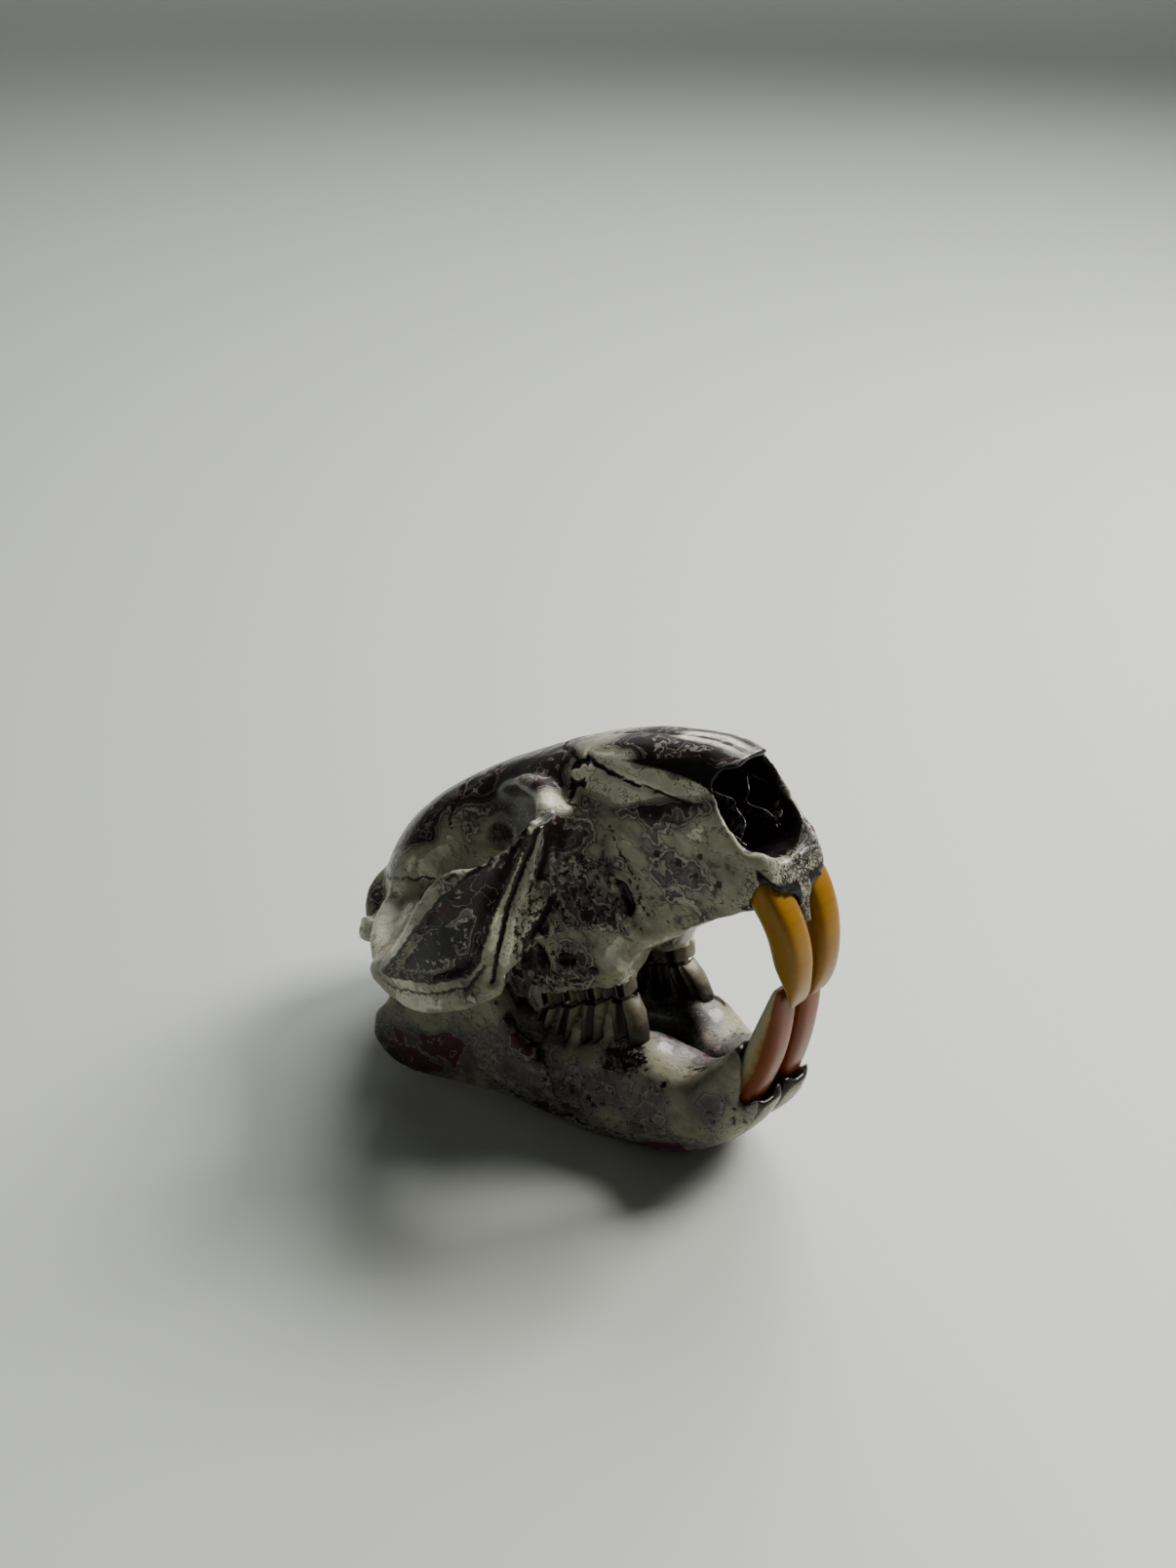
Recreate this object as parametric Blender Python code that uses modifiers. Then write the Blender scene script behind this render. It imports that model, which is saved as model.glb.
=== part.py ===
"""Beaver skull with both halves of its lower jaw, lying nose up on the jaw's lower border.

Every piece is modelled in the skull's own frame, in millimetres: x runs forward from
the back of the skull, y to the animal's left, and z up from the chewing plane of the
upper cheek teeth. Only the right side is drawn, and the left is its mirror image. The
finished nodes are then pitched nose up, scaled to metres and set on the floor.
"""
import math

import bmesh
import bpy
from mathutils import Matrix, Vector

# Stance and clearances
NOSE_UP_DEGREES = 26.5
METRES_PER_MM = 0.001
GAP = 0.35
SYMPHYSIS_HALF_GAP = 0.17
FOOT_FLAT = 0.5

# Mesh fineness, in millimetres, smoothing steps and triangles
BONE_VOXEL = 0.85
PLATE_CELL = 4.0
CRANIUM_TRIANGLES = 7600
JAW_TRIANGLES = 2000
RING_SIDES = 36

# Braincase and muzzle, each value given along x
SKULL_TOP = ((3, 35.5), (8, 39), (16, 43.4), (29, 48.0), (43, 51.0), (55, 52.5), (69, 53.5), (81, 54),
             (93, 53.8), (101, 53), (111, 51.2), (119, 49.2), (124, 47.2), (129, 44.3))
CASE_SIDE = ((3, 9), (8, 14.5), (14, 18.5), (20, 22), (26, 24), (33, 23.4), (42, 19.8), (50, 16),
             (58, 13.4), (66, 12.6), (72, 13))
CASE_FLOOR = ((3, 14), (8, 10.5), (25, 10.5), (40, 13), (55, 16), (72, 17))
CASE_WAIST = ((3, 26), (30, 28), (72, 33))
CASE_ROUND = ((3, 1.6), (20, 1.8), (38, 2.3), (72, 2.6))
MUZZLE_SIDE = ((60, 12), (68, 13), (76, 14.4), (84, 15.2), (92, 14.9), (100, 14.3), (110, 13.2),
               (118, 12.3), (125, 11.2), (129, 10.2), (131.5, 8))
MUZZLE_FLOOR = ((60, 15), (72, 10), (82, 6), (88, 6.2), (94, 8), (100, 9.5), (111, 12.2),
                (119, 13), (126, 12.8), (131.5, 14))
MUZZLE_WAIST = ((60, 32), (80, 30), (100, 28), (131.5, 22))
MUZZLE_FRONT_TOP = ((60, 60), (128.4, 60), (131.5, 25.5))

# Nose opening
NASAL_BONE = 2.3
NOSE_SIDE = ((90, 3.5), (98, 6), (110, 8.4), (120, 9.3), (140, 9.6))
NOSE_FLOOR = ((90, 34), (98, 30), (110, 26), (122, 24), (132, 22.6), (140, 22))
NOSE_MARGIN = ((125.4, 37.5), (124.4, 42.8), (142, 42.8), (142, 26.4), (128.6, 26.4), (127, 29.5),
               (126.3, 33.4))
SEPTUM = ((94, 24), (94, 48), (116, 47), (114, 40), (117, 35), (113, 30), (118, 22))
SEPTUM_THICK = 1.7

# Cheek arch: the plate in front of the orbit, then the cheekbone
PLATE_TOP_INNER = Vector((89.5, -11.0, 44.0))
PLATE_TOP_OUTER = Vector((90.5, -26.5, 43.2))
PLATE_FOOT_INNER = Vector((95.0, -11.0, 9.0))
PLATE_FOOT_OUTER = Vector((74.5, -41.0, 12.5))
PLATE_FOOT_ARCH = Vector((-1.0, 0.0, 8.0))
PLATE_HOLLOW = Vector((-2.6, 1.6, 0.0))
PLATE_THICK = 3.6
CHEEK_OUTLINE = ((91.5, 44.4), (86.5, 40.6), (82.5, 39.4), (79.3, 40.6), (71.3, 37.0), (63.7, 32.3),
                 (54, 25.8), (45, 22.4), (40, 21.8), (37, 19.6), (41, 15.6), (50, 12.4), (60, 11.2),
                 (68, 11.4), (74.5, 12.6), (80.3, 23), (86, 34))
CHEEK_FRONT_FOOT = (74.5, 12.5)
CHEEK_FRONT_TOP = (91.0, 45.0)
CHEEK_FRONT_SIDE = (-40.5, -27.0)
CHEEK_TURN = 13.0
CHEEK_SIDE = ((30, -40.5), (38, -43.2), (50, -45.2), (62, -45.6), (80, -45.0))
CHEEK_THICK = 3.4
SHELF_INNER_BACK = Vector((21, -19, 28.5))
SHELF_INNER_FRONT = Vector((35, -19, 30))
SHELF_OUTER_BACK = Vector((37, -40.6, 20.2))
SHELF_OUTER_FRONT = Vector((46, -43.4, 21))
ROOT_SHELF_DISH = 1.0
ROOT_SHELF_THICK = 4.4
UNIT_SQUARE = ((0, 0), (1, 0), (1, 1), (0, 1))

# Bone round the upper cheek teeth, each value given along x
TOOTH_BONE_INNER = ((46, -9), (54, -8), (80, -2.5), (87, -2))
TOOTH_BONE_OUTER = ((46, -14.2), (52, -17.8), (65, -17.4), (79, -15), (87, -12.8))
TOOTH_BONE_FOOT = ((46, 7.4), (52, 1.6), (78, 0.4), (82, 1.6), (86.5, 7))
TOOTH_BONE_TOP = ((46, 20), (56, 27), (64, 30), (87, 30))
TOOTH_BONE_WAIST = 14

# Lower jaw, right half, each value given along x
JAW_TOP = ((40, 4), (47, -1), (53, -6), (59, -10), (63, -11.2), (73, -11.8), (80.8, -12.6), (83.2, -15.8),
           (86.8, -19.8), (91, -21), (95, -20.4), (100, -18.6), (105, -15.2), (107, -15.6))
JAW_FLOOR = ((40, -16), (50, -24.5), (57, -30.6), (66, -36), (75, -39.4), (82, -40.6), (90, -39.6),
             (98, -37), (103.5, -34), (107, -31))
JAW_INNER = ((40, -14), (50, -9), (57, -6), (66, -4.2), (75, -2.8), (82, -1.2), (86, 2), (107, 2))
JAW_OUTER = ((40, -25), (50, -22.5), (57, -21), (66, -19.6), (75, -18.4), (84, -16.6), (92, -14.4),
             (100, -12.2), (107, -10.4))
JAW_FRONT = ((106.8, -6), (106.4, -15.5), (105.2, -22.5), (101.2, -31.2), (104.5, -28.6), (112, -21),
             (120, -8))
RAMUS_OUTLINE = ((74, -34), (66, -33.4), (57, -29.8), (45, -20.4), (30, -14.4), (20, -10.4), (14.6, -6),
                 (13.4, 0), (16.5, 5), (22, 7.5), (24, 12), (25, 16), (32, 16.6), (36, 14.6), (39, 19.5),
                 (41.5, 27), (44.5, 32), (48.5, 33), (51.5, 30), (52, 20), (52, 8), (53.8, -3),
                 (57.6, -13), (63, -21), (70, -27))
RAMUS_SIDE = ((13, -33), (28, -30), (45, -26.2), (52, -24.4), (60, -21), (68, -16.5), (76, -11))
RAMUS_INTURN = 0.26
RAMUS_INTURN_BELOW = -12.0
RAMUS_THICK = 4.2

# Gnawing teeth: arc of the front face, in the x-z plane
UPPER_ARC = {"centre": (105.9, 10.8), "radius": 25.4, "tip": -50.0, "root": 23.0}
LOWER_ARC = {"centre": (66.0, 17.0), "radius": 60.0, "tip": -20.6, "root": -65.0}
UPPER_DEPTH = ((0, 1.0), (3, 2.0), (5, 3.6), (8, 6.2), (14, 7.7), (60, 8.2))
LOWER_DEPTH = ((0, 2.4), (6, 4.8), (14, 7.0), (22, 7.6), (60, 7.6))
UPPER_WIDTH = ((0, 5.2), (1.2, 6.5), (3, 7.2), (6, 7.8), (12, 8.1), (60, 8.0))
LOWER_WIDTH = ((0, 6.6), (2, 7.4), (5, 7.8), (14, 7.9), (60, 7.6))
UPPER_CENTRE = ((0, -3.3), (1.2, -3.6), (3, -3.95), (7, -4.4), (12, -4.65), (28, -5.9), (60, -6.2))
LOWER_CENTRE = ((0, -4.35), (16, -4.45), (34, -5.7), (60, -6.4))
INCISOR_SIDES = 16
INCISOR_STEPS = 14
LOWER_SOCKET_ROOM = 0.75

# Cheek teeth, front to back: x of the centre, length along the row, y of the centre, width
UPPER_CHEEK = ((77.2, 8.8, -9.8, 7.6), (69.0, 7.4, -11.0, 8.0), (61.8, 6.8, -12.2, 7.8),
               (55.2, 6.2, -13.4, 7))
LOWER_CHEEK = ((78.6, 8.8, -9.4, 7.0), (70.4, 7.4, -10.6, 7.6), (63.0, 7.0, -11.8, 7.4),
               (56.2, 6.4, -13, 6.6))
UPPER_CROWN = (-2.6, 14.0)
LOWER_CROWN = (-3.1, -16.0)
UPPER_LEAN = (0.25, -0.05)
LOWER_LEAN = (-0.30, -0.16)
CHEEK_TOOTH_SIDES = 20
CHEEK_TOOTH_FLUTE = 0.07
CHEEK_TOOTH_NARROW = 0.16

# Finishes
BONE_COLOUR = (0.62, 0.58, 0.48, 1.0)
JAW_COLOUR = (0.55, 0.50, 0.44, 1.0)
UPPER_ENAMEL = (0.62, 0.33, 0.04, 1.0)
LOWER_ENAMEL = (0.50, 0.17, 0.05, 1.0)


def clear_scene():
    """Remove whatever the new file starts with."""
    for item in list(bpy.data.objects):
        bpy.data.objects.remove(item, do_unlink=True)


def collection(name):
    """A new collection under the scene."""
    group = bpy.data.collections.new(name)
    bpy.context.scene.collection.children.link(group)
    return group


def along(curve, x):
    """Value of a curve of (x, value) pairs at x, smooth through its points."""
    if x <= curve[0][0]:
        return curve[0][1]
    if x >= curve[-1][0]:
        return curve[-1][1]
    i = max(k for k in range(len(curve) - 1) if curve[k][0] <= x)
    (x0, v0), (x1, v1) = curve[i], curve[i + 1]
    slope = (v1 - v0) / (x1 - x0)
    before = (v0 - curve[i - 1][1]) / (x0 - curve[i - 1][0]) if i else slope
    after = (curve[i + 2][1] - v1) / (curve[i + 2][0] - x1) if i + 2 < len(curve) else slope
    start = 0.5 * (before + slope) if before * slope > 0 else 0.0
    end = 0.5 * (after + slope) if after * slope > 0 else 0.0
    limit = 3 * abs(slope)
    start = max(-limit, min(limit, start))
    end = max(-limit, min(limit, end))
    t = (x - x0) / (x1 - x0)
    step = x1 - x0
    return ((1 + 2 * t) * (1 - t) ** 2 * v0 + t * (1 - t) ** 2 * step * start
            + t * t * (3 - 2 * t) * v1 + t * t * (t - 1) * step * end)


def spans(first, last, step):
    """Evenly spaced values from first to last, at most step apart."""
    count = max(1, math.ceil(abs(last - first) / step))
    return [first + (last - first) * k / count for k in range(count + 1)]


def make_object(name, shape, group):
    """Turn a bmesh into an object with its faces pointing out."""
    bmesh.ops.recalc_face_normals(shape, faces=shape.faces)
    mesh = bpy.data.meshes.new(name)
    shape.to_mesh(mesh)
    shape.free()
    item = bpy.data.objects.new(name, mesh)
    group.objects.link(item)
    return item


def loft(name, rings, group):
    """Closed solid through rings of equally many points."""
    shape = bmesh.new()
    rows = [[shape.verts.new(point) for point in ring] for ring in rings]
    for low, high in zip(rows, rows[1:]):
        for k in range(len(low)):
            n = (k + 1) % len(low)
            shape.faces.new((low[k], low[n], high[n], high[k]))
    for row in (rows[0], rows[-1]):
        shape.faces.new(row)
    bmesh.ops.triangulate(shape, faces=[f for f in shape.faces if len(f.verts) > 4])
    return make_object(name, shape, group)


def power(value, exponent):
    """Signed power, for superellipse rings."""
    return math.copysign(abs(value) ** exponent, value)


def cross_ring(x, inner, outer, floor, waist, top, lower=2.4, upper=2.4, sides=RING_SIDES):
    """Superellipse ring in the plane across x, squarer as lower and upper grow."""
    middle, half = 0.5 * (inner + outer), 0.5 * abs(outer - inner)
    ring = []
    for k in range(sides):
        angle = 2 * math.pi * k / sides
        c, s = math.cos(angle), math.sin(angle)
        bend = 2 / (upper if s >= 0 else lower)
        height = (top - waist) if s >= 0 else (waist - floor)
        ring.append(Vector((x, middle + half * power(c, bend), waist + height * power(s, bend))))
    return ring


def ellipsoid(name, centre, radii, group, turn=(0, 0, 0)):
    """Ellipsoid with the given radii, turned about x, y and z in degrees."""
    shape = bmesh.new()
    bmesh.ops.create_uvsphere(shape, u_segments=24, v_segments=14, radius=1.0)
    place = Matrix.Translation(centre)
    for axis, angle in zip("XYZ", turn):
        place = place @ Matrix.Rotation(math.radians(angle), 4, axis)
    bmesh.ops.transform(shape, matrix=place @ Matrix.Diagonal((*radii, 1)), verts=shape.verts)
    return make_object(name, shape, group)


def rod(name, route, group, sides=12, flat=1.0, stretch=(0, 0, 1)):
    """Bent bar through (x, y, z, radius) points, made flat times as wide along stretch."""
    keys = [(i, point) for i, point in enumerate(route)]
    curves = [[(i, point[axis]) for i, point in keys] for axis in range(4)]
    samples = [[along(curve, s) for curve in curves] for s in spans(0, len(route) - 1, 0.34)]
    rings = []
    for i, sample in enumerate(samples):
        here = Vector(sample[:3])
        ahead = Vector(samples[min(i + 1, len(samples) - 1)][:3])
        back = Vector(samples[max(i - 1, 0)][:3])
        run = (ahead - back).normalized()
        side = run.cross(Vector(stretch)).normalized()
        up = side.cross(run)
        rings.append([here + sample[3] * (side * math.cos(a) + up * flat * math.sin(a))
                      for a in (2 * math.pi * k / sides for k in range(sides))])
    return loft(name, rings, group)


def rounded_outline(points, step=3.0):
    """Closed curve through the points, as evenly spread points."""
    result = []
    count = len(points)
    for i in range(count):
        p0, p1, p2, p3 = (Vector(points[(i + k) % count]) for k in (-1, 0, 1, 2))
        pieces = max(1, round((p2 - p1).length / step))
        for k in range(pieces):
            t = k / pieces
            result.append(0.5 * (2 * p1 + (p2 - p0) * t + (2 * p0 - 5 * p1 + 4 * p2 - p3) * t * t
                                 + (3 * p1 - p0 - 3 * p2 + p3) * t ** 3))
    return result


def plate(name, outline, thickness, place, group, cell=PLATE_CELL):
    """Plate of a flat outline, cut into cells and moved to its bent shape by place(u, v, w)."""
    shape = bmesh.new()
    floor = shape.faces.new([shape.verts.new((p[0], p[1], -0.5 * thickness)) for p in outline])
    sweep = bmesh.ops.extrude_face_region(shape, geom=[floor])
    raised = [v for v in sweep["geom"] if isinstance(v, bmesh.types.BMVert)]
    bmesh.ops.translate(shape, vec=(0, 0, thickness), verts=raised)
    for axis in (0, 1):
        values = [p[axis] for p in outline]
        normal = [0, 0, 0]
        normal[axis] = 1
        for cut in spans(min(values), max(values), cell)[1:-1]:
            spot = [0, 0, 0]
            spot[axis] = cut
            geometry = shape.verts[:] + shape.edges[:] + shape.faces[:]
            bmesh.ops.bisect_plane(shape, geom=geometry, dist=1e-5, plane_co=spot, plane_no=normal)
    for vert in shape.verts:
        vert.co = place(*vert.co)
    bmesh.ops.triangulate(shape, faces=shape.faces)
    return make_object(name, shape, group)


def settle(item):
    """Apply an object's modifiers."""
    bpy.context.view_layer.update()
    graph = bpy.context.evaluated_depsgraph_get()
    mesh = bpy.data.meshes.new_from_object(item.evaluated_get(graph))
    item.modifiers.clear()
    item.data = mesh


def boolean(item, group, operation):
    """Join or cut an object with every closed mesh of a collection, then empty the collection."""
    modifier = item.modifiers.new(operation.title(), "BOOLEAN")
    modifier.operation = operation
    modifier.operand_type = "COLLECTION"
    modifier.collection = group
    modifier.solver = "EXACT"
    settle(item)
    for piece in list(group.objects):
        bpy.data.objects.remove(piece, do_unlink=True)
    bpy.data.collections.remove(group)


def fuse(name, group, parts):
    """One Boolean union of a collection of closed meshes, as a new object."""
    first = group.objects[0]
    item = bpy.data.objects.new(name, first.data)
    parts.objects.link(item)
    bpy.data.objects.remove(first, do_unlink=True)
    boolean(item, group, "UNION")
    return item


def soften(item, steps, triangles):
    """Round a rough union into bone: even skin, smoothing, then fewer triangles."""
    skin = item.modifiers.new("Skin", "REMESH")
    skin.mode = "VOXEL"
    skin.voxel_size = BONE_VOXEL
    relax = item.modifiers.new("Relax", "SMOOTH")
    relax.factor = 0.5
    relax.iterations = steps
    settle(item)
    keep_largest(item)
    item.data.calc_loop_triangles()
    thin = item.modifiers.new("Thin", "DECIMATE")
    thin.ratio = triangles / len(item.data.loop_triangles)
    thin.use_collapse_triangulate = True
    settle(item)


def keep_largest(item):
    """Keep only the closed surface with the most volume."""
    shape = bmesh.new()
    shape.from_mesh(item.data)
    bmesh.ops.remove_doubles(shape, verts=shape.verts, dist=1e-4)
    unseen = set(shape.faces)
    shells = []
    while unseen:
        stack = [unseen.pop()]
        shell = []
        while stack:
            face = stack.pop()
            shell.append(face)
            for edge in face.edges:
                for other in edge.link_faces:
                    if other in unseen:
                        unseen.discard(other)
                        stack.append(other)
        shells.append(shell)
    shells.sort(key=len, reverse=True)
    scraps = [face for shell in shells[1:] for face in shell]
    bmesh.ops.delete(shape, geom=scraps, context="FACES")
    bmesh.ops.triangulate(shape, faces=shape.faces)
    shape.to_mesh(item.data)
    shape.free()


def mirror_copy(item, name, group):
    """Left copy of a right-hand object."""
    shape = bmesh.new()
    shape.from_mesh(item.data)
    for vert in shape.verts:
        vert.co.y = -vert.co.y
    bmesh.ops.reverse_faces(shape, faces=shape.faces)
    return make_object(name, shape, group)


def mirror_all(group):
    """Add the left copy of each object of a collection."""
    for item in list(group.objects):
        mirror_copy(item, item.name + "_left", group)


def case_rings():
    """Rings of the braincase, back to front."""
    return [cross_ring(x, -along(CASE_SIDE, x), along(CASE_SIDE, x), along(CASE_FLOOR, x),
                       along(CASE_WAIST, x), along(SKULL_TOP, x), lower=2.6, upper=along(CASE_ROUND, x))
            for x in spans(CASE_SIDE[0][0], CASE_SIDE[-1][0], 3.0)]


def muzzle_rings():
    """Rings of the brow and muzzle, back to front."""
    rings = []
    for x in spans(MUZZLE_SIDE[0][0], MUZZLE_SIDE[-1][0], 2.6):
        top = min(along(SKULL_TOP, x), along(MUZZLE_FRONT_TOP, x))
        side = along(MUZZLE_SIDE, x)
        waist = min(along(MUZZLE_WAIST, x), top - 4)
        rings.append(cross_ring(x, -side, side, along(MUZZLE_FLOOR, x), waist, top, lower=3.2, upper=2.8))
    return rings


def root_shelf(u, v, w):
    """Place of the arch's rear root: u runs outwards, v forwards, w through its thickness."""
    inner = SHELF_INNER_BACK.lerp(SHELF_INNER_FRONT, v)
    outer = SHELF_OUTER_BACK.lerp(SHELF_OUTER_FRONT, v)
    dish = ROOT_SHELF_DISH * math.sin(math.pi * u)
    return inner.lerp(outer, u) + Vector((0, 0, w - dish))


def front_plate(u, v, w):
    """Place of the plate before the orbit: u runs outwards, v down, w through its thickness."""
    def face(a, b):
        top = PLATE_TOP_INNER.lerp(PLATE_TOP_OUTER, a)
        foot = PLATE_FOOT_INNER.lerp(PLATE_FOOT_OUTER, a) + PLATE_FOOT_ARCH * math.sin(math.pi * a)
        dish = math.sin(math.pi * a) * math.sin(math.pi * min(1, max(0, b)))
        return top.lerp(foot, b) + PLATE_HOLLOW * dish
    step_u = face(u + 0.01, v) - face(u - 0.01, v)
    step_v = face(u, v + 0.01) - face(u, v - 0.01)
    return face(u, v) + step_u.cross(step_v).normalized() * w


def cheek_y(x, z):
    """How far out the cheekbone's middle stands at x and z."""
    share = (z - CHEEK_FRONT_FOOT[1]) / (CHEEK_FRONT_TOP[1] - CHEEK_FRONT_FOOT[1])
    edge_x = CHEEK_FRONT_FOOT[0] + share * (CHEEK_FRONT_TOP[0] - CHEEK_FRONT_FOOT[0])
    edge_y = CHEEK_FRONT_SIDE[0] + share * (CHEEK_FRONT_SIDE[1] - CHEEK_FRONT_SIDE[0])
    turn = min(1.0, max(0.0, (edge_x - x) / CHEEK_TURN))
    ease = 1 - (1 - turn) ** 2
    return edge_y + (along(CHEEK_SIDE, x) - edge_y) * ease


def side_parts(group):
    """Right-hand pieces of the cranium."""
    plate("orbit_plate", UNIT_SQUARE, PLATE_THICK, front_plate, group, cell=0.1)
    plate("cheekbone", rounded_outline(CHEEK_OUTLINE), CHEEK_THICK,
          lambda x, z, w: Vector((x, cheek_y(x, z) + w, z)), group)
    rod("brow_rim", ((56, -8, 46.6, 1.2), (65, -10.8, 48.4, 1.9), (73, -12.8, 48.8, 2.5),
                     (80, -14.6, 47.2, 3), (85, -18, 45, 3), (90, -24, 43, 2.6)), group)
    plate("arch_root", UNIT_SQUARE, ROOT_SHELF_THICK, root_shelf, group, cell=0.2)
    rod("arch_back", ((23, -21, 28, 3), (27.5, -29, 26.4, 2.6), (33, -36, 23.6, 2.5),
                      (38.5, -40.8, 20, 2.4), (47, -43.6, 17.6, 2.3)), group)
    rod("arch_front_rim", ((90.6, -26, 43, 2.0), (85.6, -31.3, 34.5, 2.1), (80, -36, 23.5, 2.2),
                           (75, -40.2, 13.4, 2.2)), group)
    rod("arch_low_rim", ((76, -39, 13.2, 2.4), (68, -43.8, 12, 2.6), (58, -45.4, 12, 2.6),
                         (48, -44.4, 13.6, 2.4), (38, -42.4, 18.5, 2.4)), group)
    rod("ear_tube", ((24, -14, 13, 5.5), (21, -21, 19, 4.4), (17.8, -30.5, 25, 3.0)), group)
    ellipsoid("ear_capsule", (21, -13.5, 10.5), (9.5, 7.5, 8), group, turn=(0, 0, 20))
    ellipsoid("mastoid", (15, -20.8, 18.5), (5.5, 5.8, 8), group, turn=(15, 0, 0))
    rod("neck_process", ((12, -19, 14, 3.6), (12, -19, 9, 2.8), (12.5, -18.5, 5, 1.8)), group)
    ellipsoid("condyle", (0.5, -7.5, 18.5), (4.2, 4.0, 6.8), group, turn=(-20, 0, 0))
    rod("crest", ((6, 0, 34.6, 1.7), (7, -7, 32.4, 1.8), (11, -12.6, 29, 1.9), (15.5, -17.6, 25, 2.1),
                  (17.5, -22.5, 20, 2.4)), group)
    ellipsoid("occiput", (8, -9, 22), (6, 13, 12), group)
    rod("pterygoid", ((60, -8, 11, 3.4), (52, -7.4, 7, 3), (45, -7, 3.8, 2.2), (40, -7, 2, 1.6)),
        group, flat=2.2)
    sockets = []
    for x in spans(TOOTH_BONE_FOOT[0][0], TOOTH_BONE_FOOT[-1][0], 3):
        sockets.append(cross_ring(x, along(TOOTH_BONE_INNER, x), along(TOOTH_BONE_OUTER, x),
                                  along(TOOTH_BONE_FOOT, x), TOOTH_BONE_WAIST, along(TOOTH_BONE_TOP, x),
                                  lower=3.6, upper=2.4, sides=24))
    loft("tooth_bone", sockets, group)
    rod("gap_ridge", ((76, -12.6, 6, 2.2), (82, -13.2, 5.6, 1.8), (90, -12.6, 9.4, 1.8),
                      (100, -11, 12.2, 1.7), (111, -10.2, 14.6, 1.6), (120, -9.6, 15.4, 1.5)), group)
    rod("slit_lip", ((92, -14.5, 30, 1.6), (95.2, -18, 23.5, 1.5), (95, -17.2, 16.5, 2),
                     (93, -14, 11.5, 2.2)), group)
    rod("root_bulge", ((96, -10, 38, 4), (108, -9.5, 37, 4.2), (118, -8.5, 30, 4.4),
                       (124, -7.5, 20, 4)), group)


def cranium_bone(parts):
    """The cranium's bone, before its teeth and sockets."""
    pieces = collection("cranium_pieces")
    side_parts(pieces)
    mirror_all(pieces)
    loft("braincase", case_rings(), pieces)
    loft("muzzle", muzzle_rings(), pieces)
    rod("incisor_spike", ((127, 0, 20, 4), (128.2, 0, 13.5, 2.6), (128.4, 0, 7, 1.2)), pieces)
    bone = fuse("cranium", pieces, parts)
    hollows = collection("cranium_hollows")
    nose = [cross_ring(x, -along(NOSE_SIDE, x), along(NOSE_SIDE, x), along(NOSE_FLOOR, x), 34,
                       min(along(SKULL_TOP, x) - NASAL_BONE, 45.5), lower=2.3, upper=2.6)
            for x in spans(NOSE_SIDE[0][0], NOSE_SIDE[-1][0], 4)]
    loft("nose", nose, hollows)
    plate("nose_margin", [Vector(p) for p in NOSE_MARGIN], 40,
          lambda x, z, w: Vector((x, w, z)), hollows)
    ellipsoid("spinal_opening", (-2, 0, 23), (16, 7.2, 6.2), hollows)
    eye = collection("cranium_sides")
    ellipsoid("orbit", (70, -22.4, 36), (15, 8.6, 10), eye)
    ellipsoid("slit", (96.5, -16.2, 22.5), (9, 1.5, 4.2), eye, turn=(0, 0, 12))
    ellipsoid("ear_hole", (17.5, -32.5, 26.4), (1.7, 6, 1.7), eye, turn=(-32, 0, 0))
    mirror_all(eye)
    for item in list(eye.objects):
        eye.objects.unlink(item)
        hollows.objects.link(item)
    bpy.data.collections.remove(eye)
    boolean(bone, hollows, "DIFFERENCE")
    middle = collection("cranium_septum")
    plate("septum", [Vector(p) for p in SEPTUM], SEPTUM_THICK, lambda x, z, w: Vector((x, w, z)), middle)
    boolean(bone, middle, "UNION")
    soften(bone, 5, CRANIUM_TRIANGLES)
    return bone


def jaw_y(x, z):
    """How far out the middle of the jaw's rear plate stands at x and z."""
    return along(RAMUS_SIDE, x) + RAMUS_INTURN * max(0.0, RAMUS_INTURN_BELOW - z)


def jaw_bone(parts):
    """Right half of the lower jaw, before its teeth and sockets."""
    pieces = collection("jaw_pieces")
    body = []
    for x in spans(JAW_TOP[0][0], JAW_TOP[-1][0], 2.5):
        top, floor = along(JAW_TOP, x), along(JAW_FLOOR, x)
        waist = 0.5 * (top + floor)
        body.append(cross_ring(x, along(JAW_INNER, x), along(JAW_OUTER, x), floor, waist, top,
                               lower=2.3, upper=2.9, sides=28))
    loft("body", body, pieces)
    plate("ramus", rounded_outline(RAMUS_OUTLINE), RAMUS_THICK,
          lambda x, z, w: Vector((x, jaw_y(x, z) + w, z)), pieces)
    rod("muscle_ridge", ((46.5, -25.6, 5, 2.2), (47.6, -25.4, -5, 2.4), (51.6, -24.2, -13.6, 2.7),
                         (58.4, -21.6, -21, 2.9), (67, -17.4, -27, 2.9)), pieces)
    rod("low_border", ((72, -10.5, -36.2, 3.2), (60, -16.5, -30.4, 3), (46, -23, -19.2, 2.8),
                       (30, -28.5, -12, 2.6), (20, -31.2, -7.8, 2.4), (16, -32.6, -1, 2)), pieces)
    ellipsoid("jaw_joint", (28.5, -29.8, 15), (5.2, 4.2, 3.0), pieces)
    ellipsoid("chin_foot", (81, -8.6, -35.6), (9, 6.6, 5.2), pieces)
    ellipsoid("root_swelling", (50, -21.5, -15), (8, 4.5, 8), pieces, turn=(0, 40, 0))
    ellipsoid("ramus_root", (46, -21.5, 0), (6, 4, 8), pieces)
    bone = fuse("mandible_right", pieces, parts)
    trims = collection("jaw_front")
    plate("front", [Vector(p) for p in JAW_FRONT], 60, lambda x, z, w: Vector((x, w, z)), trims, cell=200)
    boolean(bone, trims, "DIFFERENCE")
    soften(bone, 4, JAW_TRIANGLES)
    return bone


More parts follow.
